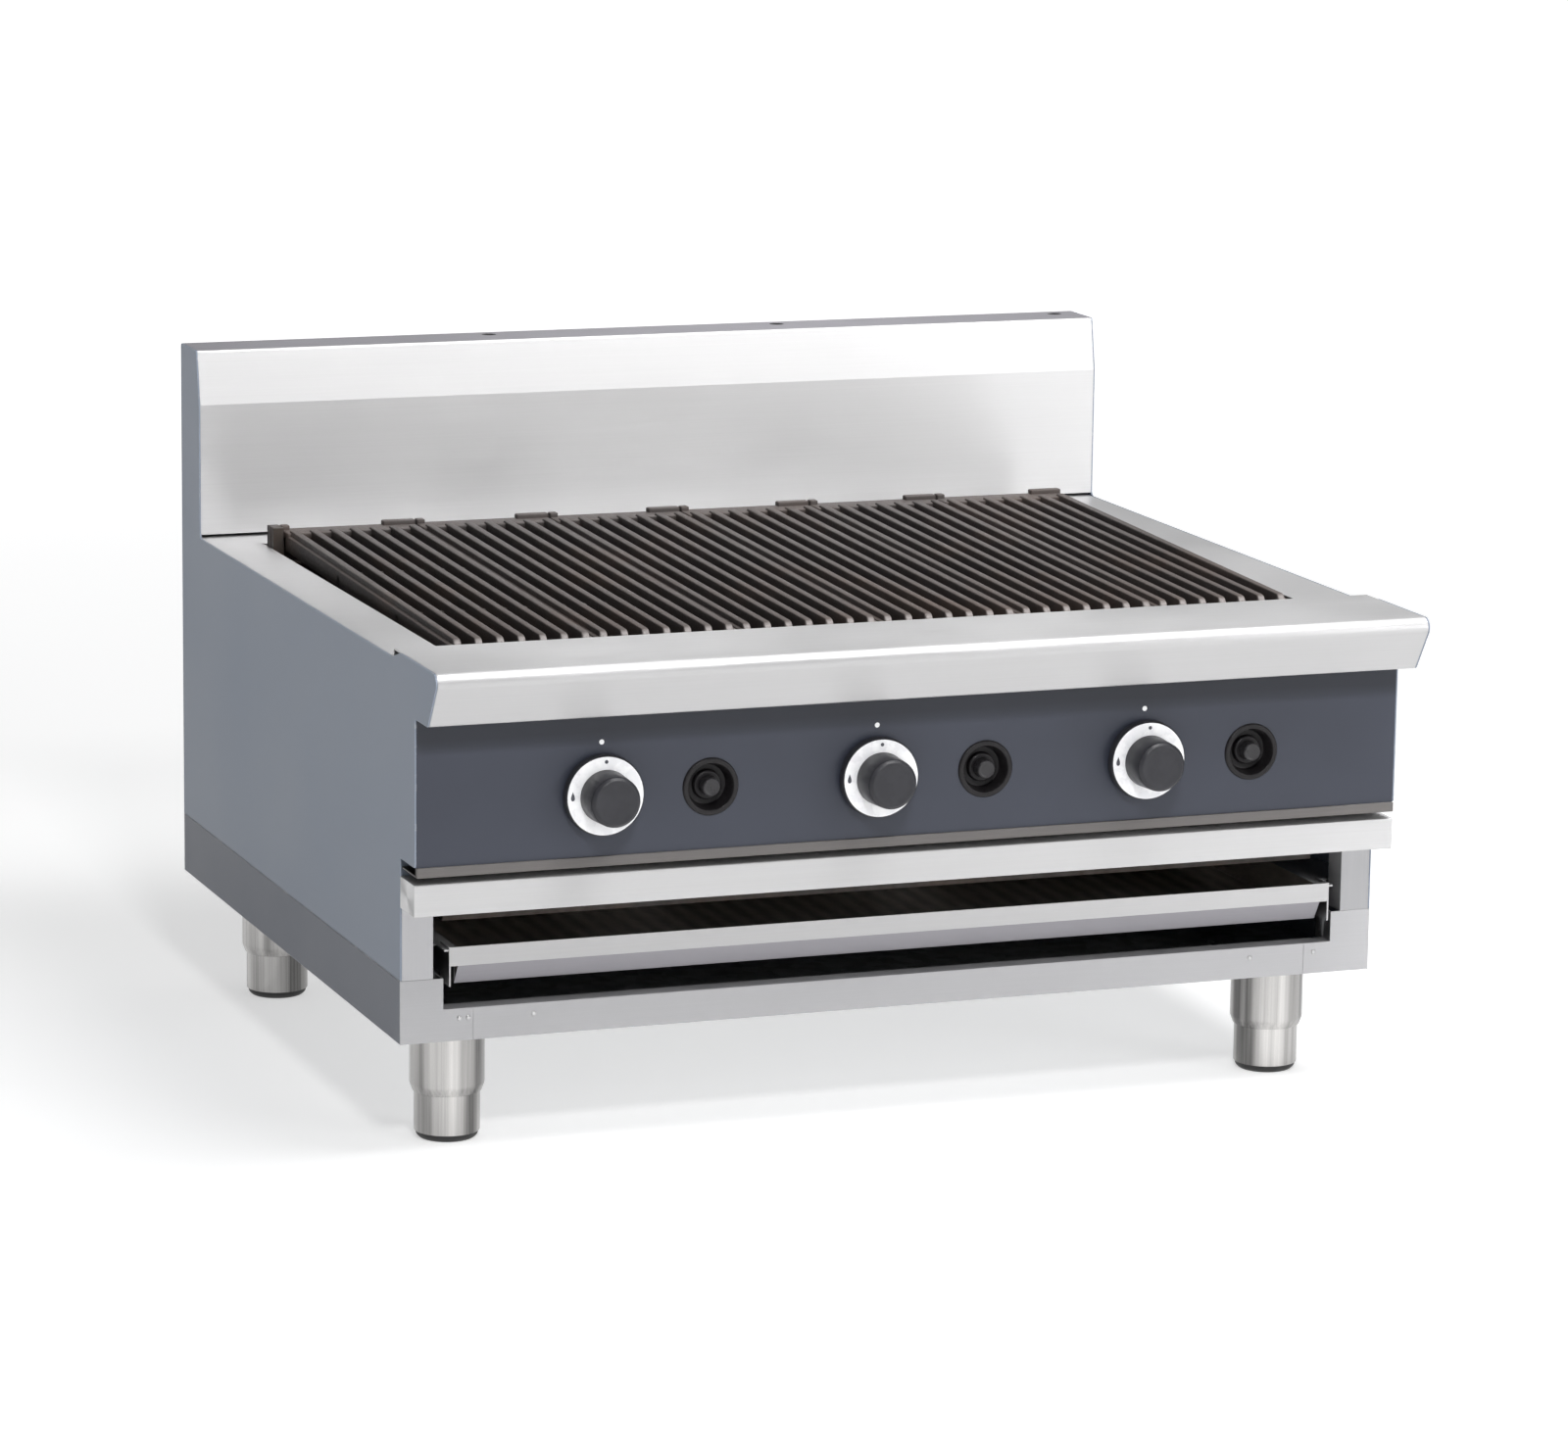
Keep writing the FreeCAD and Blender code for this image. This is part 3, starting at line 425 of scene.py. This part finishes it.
def eased(node, radius, material=None, edge_material=None, segments=2):
    """A copy of a CAD node whose sharp edges are rounded off, standing for that node."""
    maker = bmesh.new()
    maker.from_mesh(frame["nodes"][node].data)
    bmesh.ops.remove_doubles(maker, verts=maker.verts, dist=WELD_DISTANCE)
    flat = math.radians(FLAT_DEGREES)
    bmesh.ops.dissolve_limit(maker, angle_limit=flat, verts=maker.verts, edges=maker.edges)
    piece = object_from(maker, node + "_finished")
    piece.data.materials.clear()
    piece.data.materials.append(paints[material or slot_of[node]])
    for polygon in piece.data.polygons:
        polygon.material_index = 0
    bevel = piece.modifiers.new("eased_edges", "BEVEL")
    bevel.width = radius
    bevel.segments = segments
    bevel.limit_method = "ANGLE"
    bevel.angle_limit = math.radians(ROUNDED_EDGE)
    if edge_material:
        piece.data.materials.append(paints[edge_material])
        bevel.material = 1
    applied(piece)
    smooth_shaded(piece, SMOOTH_SHEET)
    weighted = piece.modifiers.new("flat_faces", "WEIGHTED_NORMAL")
    weighted.keep_sharp = True
    applied(piece)
    return show(piece, node, None, hides=(node,))


def rounded_profile(points, steps=5):
    """(radius, along, corner round) points to a smooth list of (radius, along)."""
    result = []
    for i, (r, a, corner) in enumerate(points):
        if corner <= 0 or i in (0, len(points) - 1):
            result.append((r, a))
            continue
        here = Vector((r, a))
        before = (Vector(points[i - 1][:2]) - here).normalized()
        after = (Vector(points[i + 1][:2]) - here).normalized()
        start = here + before * corner
        end = here + after * corner
        for step in range(steps + 1):
            t = step / steps
            place = start * (1 - t) ** 2 + here * 2 * t * (1 - t) + end * t ** 2
            result.append((place.x, place.y))
    return result


# For each turning axis: two directions across it, then the one along it.
AXES = {"y": ((1, 0, 0), (0, 0, 1), (0, 1, 0)), "z": ((1, 0, 0), (0, 1, 0), (0, 0, 1))}


# A profile point with a smaller radius is a single corner on the axis.
ON_AXIS = 1e-7


def lathed(name, points, centre, axis, segments=72, closed=False):
    """A turned shape: the (radius, along) profile goes round an axis through centre."""
    side, other, along = (Vector(v) for v in AXES[axis])
    profile = rounded_profile(points)
    maker = bmesh.new()
    rings = []
    for radius, place in profile:
        if radius < ON_AXIS:
            rings.append([maker.verts.new(Vector(centre) + along * place)])
            continue
        ring = []
        for i in range(segments):
            turn = 2 * math.pi * i / segments
            offset = side * math.cos(turn) * radius + other * math.sin(turn) * radius
            ring.append(maker.verts.new(Vector(centre) + offset + along * place))
        rings.append(ring)
    pairs = list(zip(rings, rings[1:]))
    if closed:
        pairs.append((rings[-1], rings[0]))
    for first, second in pairs:
        for i in range(segments):
            j = (i + 1) % segments
            corners = [first[i % len(first)], first[j % len(first)],
                       second[j % len(second)], second[i % len(second)]]
            unique = list(dict.fromkeys(corners))
            if len(unique) > 2:
                maker.faces.new(unique)
    bmesh.ops.recalc_face_normals(maker, faces=maker.faces)
    piece = object_from(maker, name)
    smooth_shaded(piece, SMOOTH_TURNED)
    return piece


# ---------------------------------------------------------------- grates

GRATES = 6
GRATE_PITCH = 0.130
GRATE_HALF = 0.06425
BARS = 7
BAR_HALF = 0.00375
BAR_TAPER = 0.72
BAR_HEIGHT = 0.020
BAR_NOSE = 0.008
BAR_WOBBLE = 0.0002
EDGE_DROP = 0.005
EDGE_NOSE = 0.006
CROSS_BAR_Y = (-0.090, 0.090)
CROSS_BAR_HALF = 0.004
CROSS_BAR_SUNK = 0.008
FRONT_BAR_Y = (0.004, 0.012)
FRONT_BAR_SUNK = 0.010
UNDERCUT = 0.0015
FLANGE_STEP = 0.001
FLANGE_THICK = 0.006
REAR_SLOPE = 0.004
REAR_WEB = 0.009
LUG_ROOT = 0.004
LEFT_LUG = 0.008
RIGHT_LUG = 0.031
CAST_ROUND = 0.0013
GRATE_Y = (-0.244, 0.282)
GRATE_TOP = (0.4358, 0.4485)
GRATE_REST = (0.409, 0.418)
BAR_REAR_Y = 0.262
FLANGE_Y = 0.252
FLANGE_TOP = 0.446
LUG_TOP = 0.450


def grate_top(y):
    """Height of the sloping upper side of the bars."""
    share = (y - GRATE_Y[0]) / (GRATE_Y[1] - GRATE_Y[0])
    return GRATE_TOP[0] + share * (GRATE_TOP[1] - GRATE_TOP[0])


def add_slab(maker, outline, x_top, x_bottom=None):
    """A wall between two X places from a (y, z) outline; it can thin towards the underside."""
    x_bottom = x_bottom or x_top
    lowest = min(z for _, z in outline)
    highest = max(z for _, z in outline)
    rings = []
    for top, bottom in zip(x_top, x_bottom):
        ring = []
        for y, z in outline:
            share = (z - lowest) / (highest - lowest)
            ring.append(maker.verts.new((bottom + (top - bottom) * share, y, z)))
        rings.append(ring)
    maker.faces.new(rings[0])
    maker.faces.new(rings[1][::-1])
    count = len(outline)
    for i in range(count):
        j = (i + 1) % count
        maker.faces.new((rings[0][j], rings[0][i], rings[1][i], rings[1][j]))


def bar_outline(drop, set_down, nose, steps=7):
    """Side view of a bar: a long sloping top that curves down at the front."""
    front, rear = GRATE_Y[0], BAR_REAR_Y
    outline = [(front + UNDERCUT, grate_top(front) - drop), (rear, grate_top(rear) - drop),
               (rear, FLANGE_TOP - FLANGE_STEP), (rear - REAR_SLOPE, grate_top(rear) - set_down)]
    high = grate_top(front) - set_down
    for step in range(steps + 1):
        turn = math.pi / 2 * step / steps
        outline.append((front + nose - nose * math.sin(turn), high - nose + nose * math.cos(turn)))
    return outline


def add_block(maker, x, y, z):
    """A plain box, from the two ends of its span along each axis."""
    add_slab(maker, [(y[0], z[0]), (y[1], z[0]), (y[1], z[1]), (y[0], z[1])], x)


def build_grate(number):
    """One casting: bars, a lower web at each side, front and cross bars, and a rear flange with lugs."""
    centre = GRATE_PITCH * (number - (GRATES + 1) / 2)
    wobble = random.Random(40 + number)
    maker = bmesh.new()
    for i in range(BARS):
        x = centre + BAR_PITCH * (i - BARS // 2) + wobble.uniform(-BAR_WOBBLE, BAR_WOBBLE)
        add_slab(maker, bar_outline(BAR_HEIGHT, wobble.uniform(0, BAR_WOBBLE), BAR_NOSE),
                 (x - BAR_HALF, x + BAR_HALF), (x - BAR_HALF * BAR_TAPER, x + BAR_HALF * BAR_TAPER))
    for way in (-1, 1):
        inner = centre + way * BAR_PITCH * (BARS // 2)
        outer = centre + way * GRATE_HALF
        add_slab(maker, bar_outline(BAR_HEIGHT, EDGE_DROP, EDGE_NOSE),
                 (min(inner, outer), max(inner, outer)))
    span = (centre - GRATE_HALF, centre + GRATE_HALF)
    add_block(maker, span, (GRATE_Y[0] + FRONT_BAR_Y[0], GRATE_Y[0] + FRONT_BAR_Y[1]),
              (GRATE_REST[0], GRATE_TOP[0] - FRONT_BAR_SUNK))
    for y in CROSS_BAR_Y:
        top = grate_top(y)
        add_block(maker, span, (y - CROSS_BAR_HALF, y + CROSS_BAR_HALF),
                  (top - BAR_HEIGHT, top - CROSS_BAR_SUNK))
    rear_web = (GRATE_Y[1] - REAR_WEB, GRATE_Y[1])
    add_block(maker, span, (FLANGE_Y, GRATE_Y[1]), (FLANGE_TOP - FLANGE_THICK, FLANGE_TOP))
    add_block(maker, span, rear_web, (GRATE_REST[1], FLANGE_TOP - FLANGE_STEP))
    for lug_x in ((span[0], span[0] + LEFT_LUG), (span[1] - RIGHT_LUG, span[1])):
        add_block(maker, lug_x, rear_web, (FLANGE_TOP - LUG_ROOT, LUG_TOP))
    bmesh.ops.recalc_face_normals(maker, faces=maker.faces)
    piece = object_from(maker, "grate_casting_" + str(number))
    bevel = piece.modifiers.new("cast_rounds", "BEVEL")
    bevel.width = CAST_ROUND
    bevel.segments = 3
    bevel.limit_method = "ANGLE"
    bevel.angle_limit = math.radians(ROUNDED_EDGE)
    applied(piece)
    smooth_shaded(piece, SMOOTH_ROUNDED)
    return show(piece, "grate_" + str(number), "grate_iron", hides=("grate_" + str(number),))


for number in range(1, GRATES + 1):
    build_grate(number)


# ---------------------------------------------------------------- knobs and igniters

KNOB_X = (-0.287, -0.040, 0.208)
IGNITER_X = (-0.190, 0.060, 0.310)
CONTROL_Z = 0.317
PANEL_Y = -0.341
DIAL_FACE_Y = -0.3529
DIAL_BACK_Y = -0.3460
DIAL_RIM = 0.0336
INDEX_DOT_RISE = 0.044
INDEX_DOT_RADIUS = 0.0022

# Marks on the dial, from its centre: X, Z and size.
TOP_MARK = (0.0004, 0.0293, 0.0016)
DROP_MARK = (-0.0290, 0.0015, 0.0040)

# Turned profiles: radius, place along the turning axis, and how far the corner there is rounded.
DIAL_PROFILE = (
    (0.0151, -0.3530, 0), (0.0215, -0.3530, 0.0004), (0.0330, -0.3526, 0.0006), (0.0346, -0.3512, 0.0006),
    (0.0350, -0.3452, 0.0002), (0.0346, -0.3450, 0), (0.0151, -0.3450, 0))
CAP_PROFILE = (
    (0.0, -0.3814, 0), (0.0150, -0.3815, 0.001), (0.0186, -0.3819, 0.0008), (0.0216, -0.3792, 0.0012),
    (0.0228, -0.3536, 0.0004), (0.0224, -0.3530, 0), (0.0150, -0.3530, 0), (0.0150, -0.3450, 0),
    (0.0041, -0.3450, 0), (0.0041, -0.3700, 0), (0.0, -0.3700, 0))
CUP_PROFILE = (
    (0.0083, -0.3346, 0), (0.0112, -0.3350, 0.0006), (0.0125, -0.3340, 0.0006), (0.0125, -0.3290, 0.0008),
    (0.0176, -0.3290, 0.0012), (0.0198, -0.3412, 0.0006), (0.0206, -0.3430, 0.0006),
    (0.0238, -0.3430, 0.0008), (0.0250, -0.3416, 0.0006), (0.0250, -0.3410, 0), (0.0215, -0.3410, 0),
    (0.0215, -0.3140, 0.0005), (0.0083, -0.3140, 0))
BUTTON_PROFILE = (
    (0.0, -0.3444, 0), (0.0055, -0.3446, 0.0008), (0.0068, -0.3450, 0.0004), (0.0080, -0.3438, 0.0006),
    (0.0080, -0.3200, 0.0003), (0.0060, -0.3200, 0), (0.0060, -0.3140, 0), (0.0100, -0.3140, 0.0003),
    (0.0100, -0.3120, 0.0003), (0.0, -0.3120, 0))


PRINT_THICKNESS = 0.00008
DROP_POINTS = 28
DROP_WIDTH = 0.62
DROP_SHARPNESS = 1.6


def printed(name, rings, centre):
    """A thin print on an upright face: each ring is (x, z) points round the centre."""
    maker = bmesh.new()
    middle_x, face_y, middle_z = centre
    for ring in rings:
        front = [maker.verts.new((middle_x + x, face_y - PRINT_THICKNESS, middle_z + z)) for x, z in ring]
        back = [maker.verts.new((middle_x + x, face_y, middle_z + z)) for x, z in ring]
        maker.faces.new(front)
        maker.faces.new(back[::-1])
        for i in range(len(ring)):
            j = (i + 1) % len(ring)
            maker.faces.new((front[j], front[i], back[i], back[j]))
    bmesh.ops.recalc_face_normals(maker, faces=maker.faces)
    return object_from(maker, name)


def circle(x, z, radius, count=24):
    """A round outline."""
    turns = [2 * math.pi * i / count for i in range(count)]
    return [(x + radius * math.cos(t), z + radius * math.sin(t)) for t in turns]


def drop_shape(x, z, size):
    """A plain pointed drop, standing for the high setting."""
    ring = []
    for i in range(DROP_POINTS):
        t = 2 * math.pi * i / DROP_POINTS
        narrow = math.sin(t / 2) ** DROP_SHARPNESS
        ring.append((x + size * DROP_WIDTH * narrow * math.sin(t), z + size * math.cos(t)))
    return ring


def build_knob(place, x):
    """A white dial with a black rim and two dark marks, and the black grip that stands on it."""
    axis = (x, 0, CONTROL_Z)
    dial = lathed("dial_" + place, DIAL_PROFILE, axis, "y", closed=True)
    show(dial, "knob_dial_" + place, "dial_white", hides=("knob_dial_" + place,))
    dial.data.materials.append(paints["knob_black"])
    for polygon in dial.data.polygons:
        outside = Vector((polygon.center.x - x, polygon.center.z - CONTROL_Z)).length
        if outside > DIAL_RIM or polygon.center.y > DIAL_BACK_Y:
            polygon.material_index = 1
    cap = lathed("cap_" + place, CAP_PROFILE, axis, "y")
    show(cap, "knob_cap_" + place, "knob_black", hides=("knob_cap_" + place,))
    face = (x, DIAL_FACE_Y, CONTROL_Z)
    marks = printed("dial_marks_" + place, [circle(*TOP_MARK), drop_shape(*DROP_MARK)], face)
    show(marks, "knob_dial_" + place, "print_dark")


def build_index_dot(place, x):
    """The white dot on the control panel, above a knob."""
    above = (x, PANEL_Y, CONTROL_Z + INDEX_DOT_RISE)
    dot = printed("index_dot_" + place, [circle(0, 0, INDEX_DOT_RADIUS)], above)
    show(dot, "control_panel", "print_white")


def build_igniter(place, x):
    """A recessed black cup with a push button in it."""
    axis = (x, 0, CONTROL_Z)
    housing = lathed("igniter_cup_" + place, CUP_PROFILE, axis, "y", closed=True)
    show(housing, "igniter_housing_" + place, "igniter_black", hides=("igniter_housing_" + place,))
    button = lathed("igniter_push_" + place, BUTTON_PROFILE, axis, "y")
    show(button, "igniter_button_" + place, "button_black", hides=("igniter_button_" + place,))


for place, knob_x, igniter_x in zip(PLACES, KNOB_X, IGNITER_X):
    build_knob(place, knob_x)
    build_index_dot(place, knob_x)
    build_igniter(place, igniter_x)


# ---------------------------------------------------------------- legs and small hardware

LEG_PLACES = {"front_left": (-0.386, -0.227), "front_right": (0.386, -0.227),
              "rear_left": (-0.386, 0.306), "rear_right": (0.386, 0.306)}
LEG_SEGMENTS = 96
SLEEVE_PROFILE = (
    (0.0289, 0.0995, 0), (0.0289, 0.0418, 0), (0.0295, 0.0415, 0), (0.0300, 0.0418, 0.0002),
    (0.0325, 0.0487, 0.0012), (0.0325, 0.1020, 0.0004), (0.0321, 0.1025, 0), (0.0130, 0.1025, 0),
    (0.0130, 0.0860, 0), (0.0081, 0.0860, 0), (0.0081, 0.1015, 0), (0.0289, 0.1015, 0))
INSERT_PROFILE = (
    (0.0080, 0.0970, 0), (0.0080, 0.0095, 0), (0.0265, 0.0095, 0), (0.0265, 0.0840, 0),
    (0.0285, 0.0840, 0.0004), (0.0285, 0.0066, 0.0005), (0.0272, 0.0065, 0))
TIP_PROFILE = (
    (0.0, 0.0, 0), (0.0236, 0.0, 0.0016), (0.0266, 0.0030, 0.0012), (0.0273, 0.0066, 0), (0.0, 0.0066, 0))

RIVET_PLACES = ((-0.398, 0.122), (-0.390, 0.122), (-0.332, 0.121), (0.334, 0.121), (0.396, 0.122))
RIVET_SEGMENTS = 28
RIVET_PROFILE = (
    (0.0, -0.30130, 0), (0.0012, -0.30118, 0), (0.0019, -0.3007, 0), (0.0023, -0.3000, 0), (0.0, -0.3000, 0))


def gathered(pieces, name):
    """Several pieces put together as one mesh."""
    maker = bmesh.new()
    for piece in pieces:
        maker.from_mesh(piece.data)
        bpy.data.objects.remove(piece)
    return object_from(maker, name)


def build_legs():
    """Four fixed sleeves as one piece, and in each an adjustable foot with a black tip."""
    sleeves = []
    for corner, (x, y) in LEG_PLACES.items():
        centre = (x, y, 0)
        foot = "leg_foot_" + corner
        sleeves.append(lathed("sleeve_" + corner, SLEEVE_PROFILE, centre, "z", segments=LEG_SEGMENTS))
        insert = lathed("insert_" + corner, INSERT_PROFILE, centre, "z", segments=LEG_SEGMENTS)
        show(insert, foot, "leg_steel", hides=(foot,))
        tip = lathed("tip_" + corner, TIP_PROFILE, centre, "z", segments=LEG_SEGMENTS)
        show(tip, foot, "foot_tip")
    sleeve_set = gathered(sleeves, "leg_sleeve_set")
    smooth_shaded(sleeve_set, SMOOTH_TURNED)
    show(sleeve_set, "leg_sleeves", "leg_steel", hides=("leg_sleeves",))


def build_rivets():
    """Low domed rivet heads on the front of the base."""
    rivets = []
    for i, (x, z) in enumerate(RIVET_PLACES):
        rivets.append(lathed("rivet_" + str(i), RIVET_PROFILE, (x, 0, z), "y", segments=RIVET_SEGMENTS))
    rivet_set = gathered(rivets, "rivet_heads")
    smooth_shaded(rivet_set, SMOOTH_ROUNDED)
    show(rivet_set, "base_rivets", "rivet_steel", hides=("base_rivets",))


build_legs()
build_rivets()


# ---------------------------------------------------------------- sheet metal

SHEET_EASE = 0.0005
FOLD_EASE = 0.0004
RADIANT_EASE = 0.0010
BURNER_EASE = 0.0008
SPLASH_TOP = 0.6045
TRAY_FRONT_Y = -0.285
TRAY_INSIDE_X = 0.3993
TRAY_RIM_Z = 0.1818
TRAY_BAND_Z = 0.1685


def splashback_with_dull_top():
    """The splashback, with its flat top flange darkened as a painted reflection of the dark space behind."""
    splash = eased("splashback", SHEET_EASE)
    splash.data.materials.append(paints["painted_shade_steel"])
    for polygon in splash.data.polygons:
        # The flat top flange gets the darker steel: a painted dark reflection.
        if polygon.center.z > SPLASH_TOP and polygon.normal.z > 0.9:
            polygon.material_index = 1


def tray_with_fat():
    """The drip tray: baked fat on the faces that look into it, and painted shade on the downward faces low on
    its front.
    """
    tray = eased("drip_tray", SHEET_EASE)
    tray.data.materials.append(paints["tray_fat"])
    tray.data.materials.append(paints["painted_shade_steel"])
    for polygon in tray.data.polygons:
        x, y, z = polygon.center
        normal = polygon.normal
        looks_in = normal.z > 0.5 or normal.y < -0.5 or normal.x * x < -0.3
        behind_front = y > TRAY_FRONT_Y and abs(x) < TRAY_INSIDE_X and z < TRAY_RIM_Z
        if looks_in and behind_front:
            polygon.material_index = 1
        # Downward faces low on the tray front get the darker steel: painted shade.
        elif normal.z < -0.1 and y < TRAY_FRONT_Y and z < TRAY_BAND_Z:
            polygon.material_index = 2


eased("front_rail", SHEET_EASE, material="rail_painted_light_steel")
eased("base_front", SHEET_EASE, material="base_painted_shade_steel")
splashback_with_dull_top()
eased("hob_deck", SHEET_EASE, material="deck_steel")
eased("panel_lip", SHEET_EASE, material="lip_painted_shade_steel")
tray_with_fat()
for node in ("left_stile", "right_stile"):
    eased(node, FOLD_EASE, material="upright_painted_shade_steel")
for side in ("left", "right"):
    eased(side + "_side_panel", SHEET_EASE, edge_material="side_edge")
    eased(side + "_base_side", SHEET_EASE, edge_material="base_edge")
eased("control_panel", SHEET_EASE, edge_material="panel_edge")
for node in ("flange_plugs", "back_panel", "base_rear_rail"):
    eased(node, SHEET_EASE)
for place in PLACES:
    eased("radiant_" + place, RADIANT_EASE)
    eased("burner_" + place, BURNER_EASE, segments=1)
for node in ("firebox", "grate_rests", "burner_beams"):
    eased(node, FOLD_EASE, material="black_steel", segments=1)

# Inner parts that keep their CAD shape and only get a material.
for node in ("base_floor", "tray_runners", "gas_manifold", "gas_inlet", "pilot_burners") + tuple(
        kind + place for kind in ("gas_valve_", "valve_stem_") for place in PLACES):
    item = frame["nodes"][node]
    item.data.materials.clear()
    item.data.materials.append(paints[slot_of[node]])


# ---------------------------------------------------------------- floor, light and camera

FLOOR_HALF = 24.0
FLOOR_GREY = (0.62, 0.62, 0.62)
FLOOR_DARKER = (0.61, 0.61, 0.61)
FLOOR_LIGHTER = (0.63, 0.63, 0.63)
GLOW_DISTANCE = (1.5, 4.5)
GLOW_STRENGTH = (0.52, 0.95)

BRIGHT_SIDE = (0.45, -0.74, 0.50)
ROOM_TINT = (0.97, 0.985, 1.0, 1)
ROOM_STRENGTH = (0.06, 0.30)
HORIZON_HEIGHT = (0.08, 0.15)
HORIZON_STRENGTH = (1.0, 0.0)

# Name, place, target, size and power of each soft light.
LIGHTS = (
    ("soft_overhead", (0.7, -0.85, 2.3), (0.1, 0.3, 0.5), (1.8, 0.7), 56),
    ("soft_right_front", (3.3, -4.2, 1.7), (0, 0, 0.4), (1.8, 2.0), 58),
    ("leg_strip", (-0.9, -6.2, 0.9), (0, 0, 0.3), (0.45, 2.0), 5),
    ("top_rear", (1.2, 1.6, 2.4), (0.1, -0.2, 0.4), (2.2, 1.0), 4),
    ("key_left", (-0.85, -3.2, 2.7), (0, -0.3, 0.35), (0.5, 0.4), 58),
)

CAMERA_TURN = (20.666, 11.352, 0.7456)
CAMERA_AIM = (0.00402, 0, 0.29407)
CAMERA_DISTANCE = 5.43257
CAMERA_LENS_MM = 137.70
CAMERA_SENSOR_MM = 36.0
CAMERA_REACH = 60


def stage_floor():
    """A pale floor that glows a little, and more so further out, so that it fades to white."""
    maker = bmesh.new()
    corners = ((-1, -1), (1, -1), (1, 1), (-1, 1))
    maker.faces.new([maker.verts.new((x * FLOOR_HALF, y * FLOOR_HALF, 0)) for x, y in corners])
    floor = object_from(maker, "studio_floor")
    shader = Shader("studio_floor_paint", FLOOR_GREY, roughness=0.8)
    soft = shader.noise((0.8, 0.8, 0.8), detail=2)
    shader.color(shader.mixed(shader.ranged(soft, NOISE_SPAN, WHOLE), FLOOR_DARKER, FLOOR_LIGHTER))
    shader.bsdf.inputs["Emission Color"].default_value = (1, 1, 1, 1)
    x, y, _ = shader.position()
    squared = shader.combined("ADD", shader.combined("MULTIPLY", x, x), shader.combined("MULTIPLY", y, y))
    distance = shader.combined("SQRT", squared, 0)
    glow = shader.ranged(distance, GLOW_DISTANCE, GLOW_STRENGTH)
    shader.link(glow, shader.bsdf.inputs["Emission Strength"])
    floor.data.materials.append(shader.material)


def area_light(name, place, target, size, power):
    """A soft panel of light at a place, turned to look at its target; size in metres, power in watts."""
    data = bpy.data.lights.new(name, "AREA")
    data.shape = "RECTANGLE"
    data.size, data.size_y = size
    data.energy = power
    light = bpy.data.objects.new(name, data)
    light.location = place
    light.rotation_euler = (Vector(target) - Vector(place)).to_track_quat("-Z", "Y").to_euler()
    bpy.context.scene.collection.objects.link(light)


def smooth_range(tree, value, from_range, to_range):
    """A value eased from one range to another, and held at its ends."""
    node = tree.nodes.new("ShaderNodeMapRange")
    node.interpolation_type = "SMOOTHSTEP"
    for socket, number in zip(RANGE_SOCKETS, from_range + to_range):
        node.inputs[socket].default_value = number
    tree.links.new(value, node.inputs["Value"])
    return node.outputs["Result"]


def studio_world():
    """A dim room with one brighter side, and white round the horizon for low views."""
    world = bpy.data.worlds.new("soft_studio")
    bpy.context.scene.world = world
    world.use_nodes = True
    tree = world.node_tree
    tree.nodes.clear()
    output = tree.nodes.new("ShaderNodeOutputWorld")
    background = tree.nodes.new("ShaderNodeBackground")
    tree.links.new(background.outputs["Background"], output.inputs["Surface"])
    direction = tree.nodes.new("ShaderNodeTexCoord").outputs["Generated"]
    facing = tree.nodes.new("ShaderNodeVectorMath")
    facing.operation = "DOT_PRODUCT"
    facing.inputs[1].default_value = BRIGHT_SIDE
    tree.links.new(direction, facing.inputs[0])
    height = tree.nodes.new("ShaderNodeSeparateXYZ")
    tree.links.new(direction, height.inputs["Vector"])
    strongest = tree.nodes.new("ShaderNodeMath")
    strongest.operation = "MAXIMUM"
    room = smooth_range(tree, facing.outputs["Value"], (-0.9, 0.9), ROOM_STRENGTH)
    horizon = smooth_range(tree, height.outputs["Z"], HORIZON_HEIGHT, HORIZON_STRENGTH)
    tree.links.new(room, strongest.inputs[0])
    tree.links.new(horizon, strongest.inputs[1])
    tree.links.new(strongest.outputs[0], background.inputs["Strength"])
    background.inputs["Color"].default_value = ROOM_TINT


def aimed_camera():
    """The photograph's angle: yaw, pitch and roll in degrees, looking at CAMERA_AIM from afar."""
    yaw, pitch, roll = (math.radians(v) for v in CAMERA_TURN)
    ahead = Vector((math.sin(yaw) * math.cos(pitch), math.cos(yaw) * math.cos(pitch), -math.sin(pitch)))
    right = Vector((math.cos(yaw), -math.sin(yaw), 0))
    up = right.cross(ahead)
    turned_right = right * math.cos(roll) + up * math.sin(roll)
    turned_up = up * math.cos(roll) - right * math.sin(roll)
    data = bpy.data.cameras.new("product_camera")
    data.lens = CAMERA_LENS_MM
    data.sensor_width = CAMERA_SENSOR_MM
    data.clip_end = CAMERA_REACH
    camera = bpy.data.objects.new("product_camera", data)
    place = Vector(CAMERA_AIM) - ahead * CAMERA_DISTANCE
    turned = Matrix((turned_right, turned_up, -ahead)).transposed().to_4x4()
    camera.matrix_world = Matrix.Translation(place) @ turned
    bpy.context.scene.collection.objects.link(camera)
    bpy.context.scene.camera = camera


stage_floor()
studio_world()
for light in LIGHTS:
    area_light(*light)
aimed_camera()
bpy.context.scene.view_settings.view_transform = "Standard"
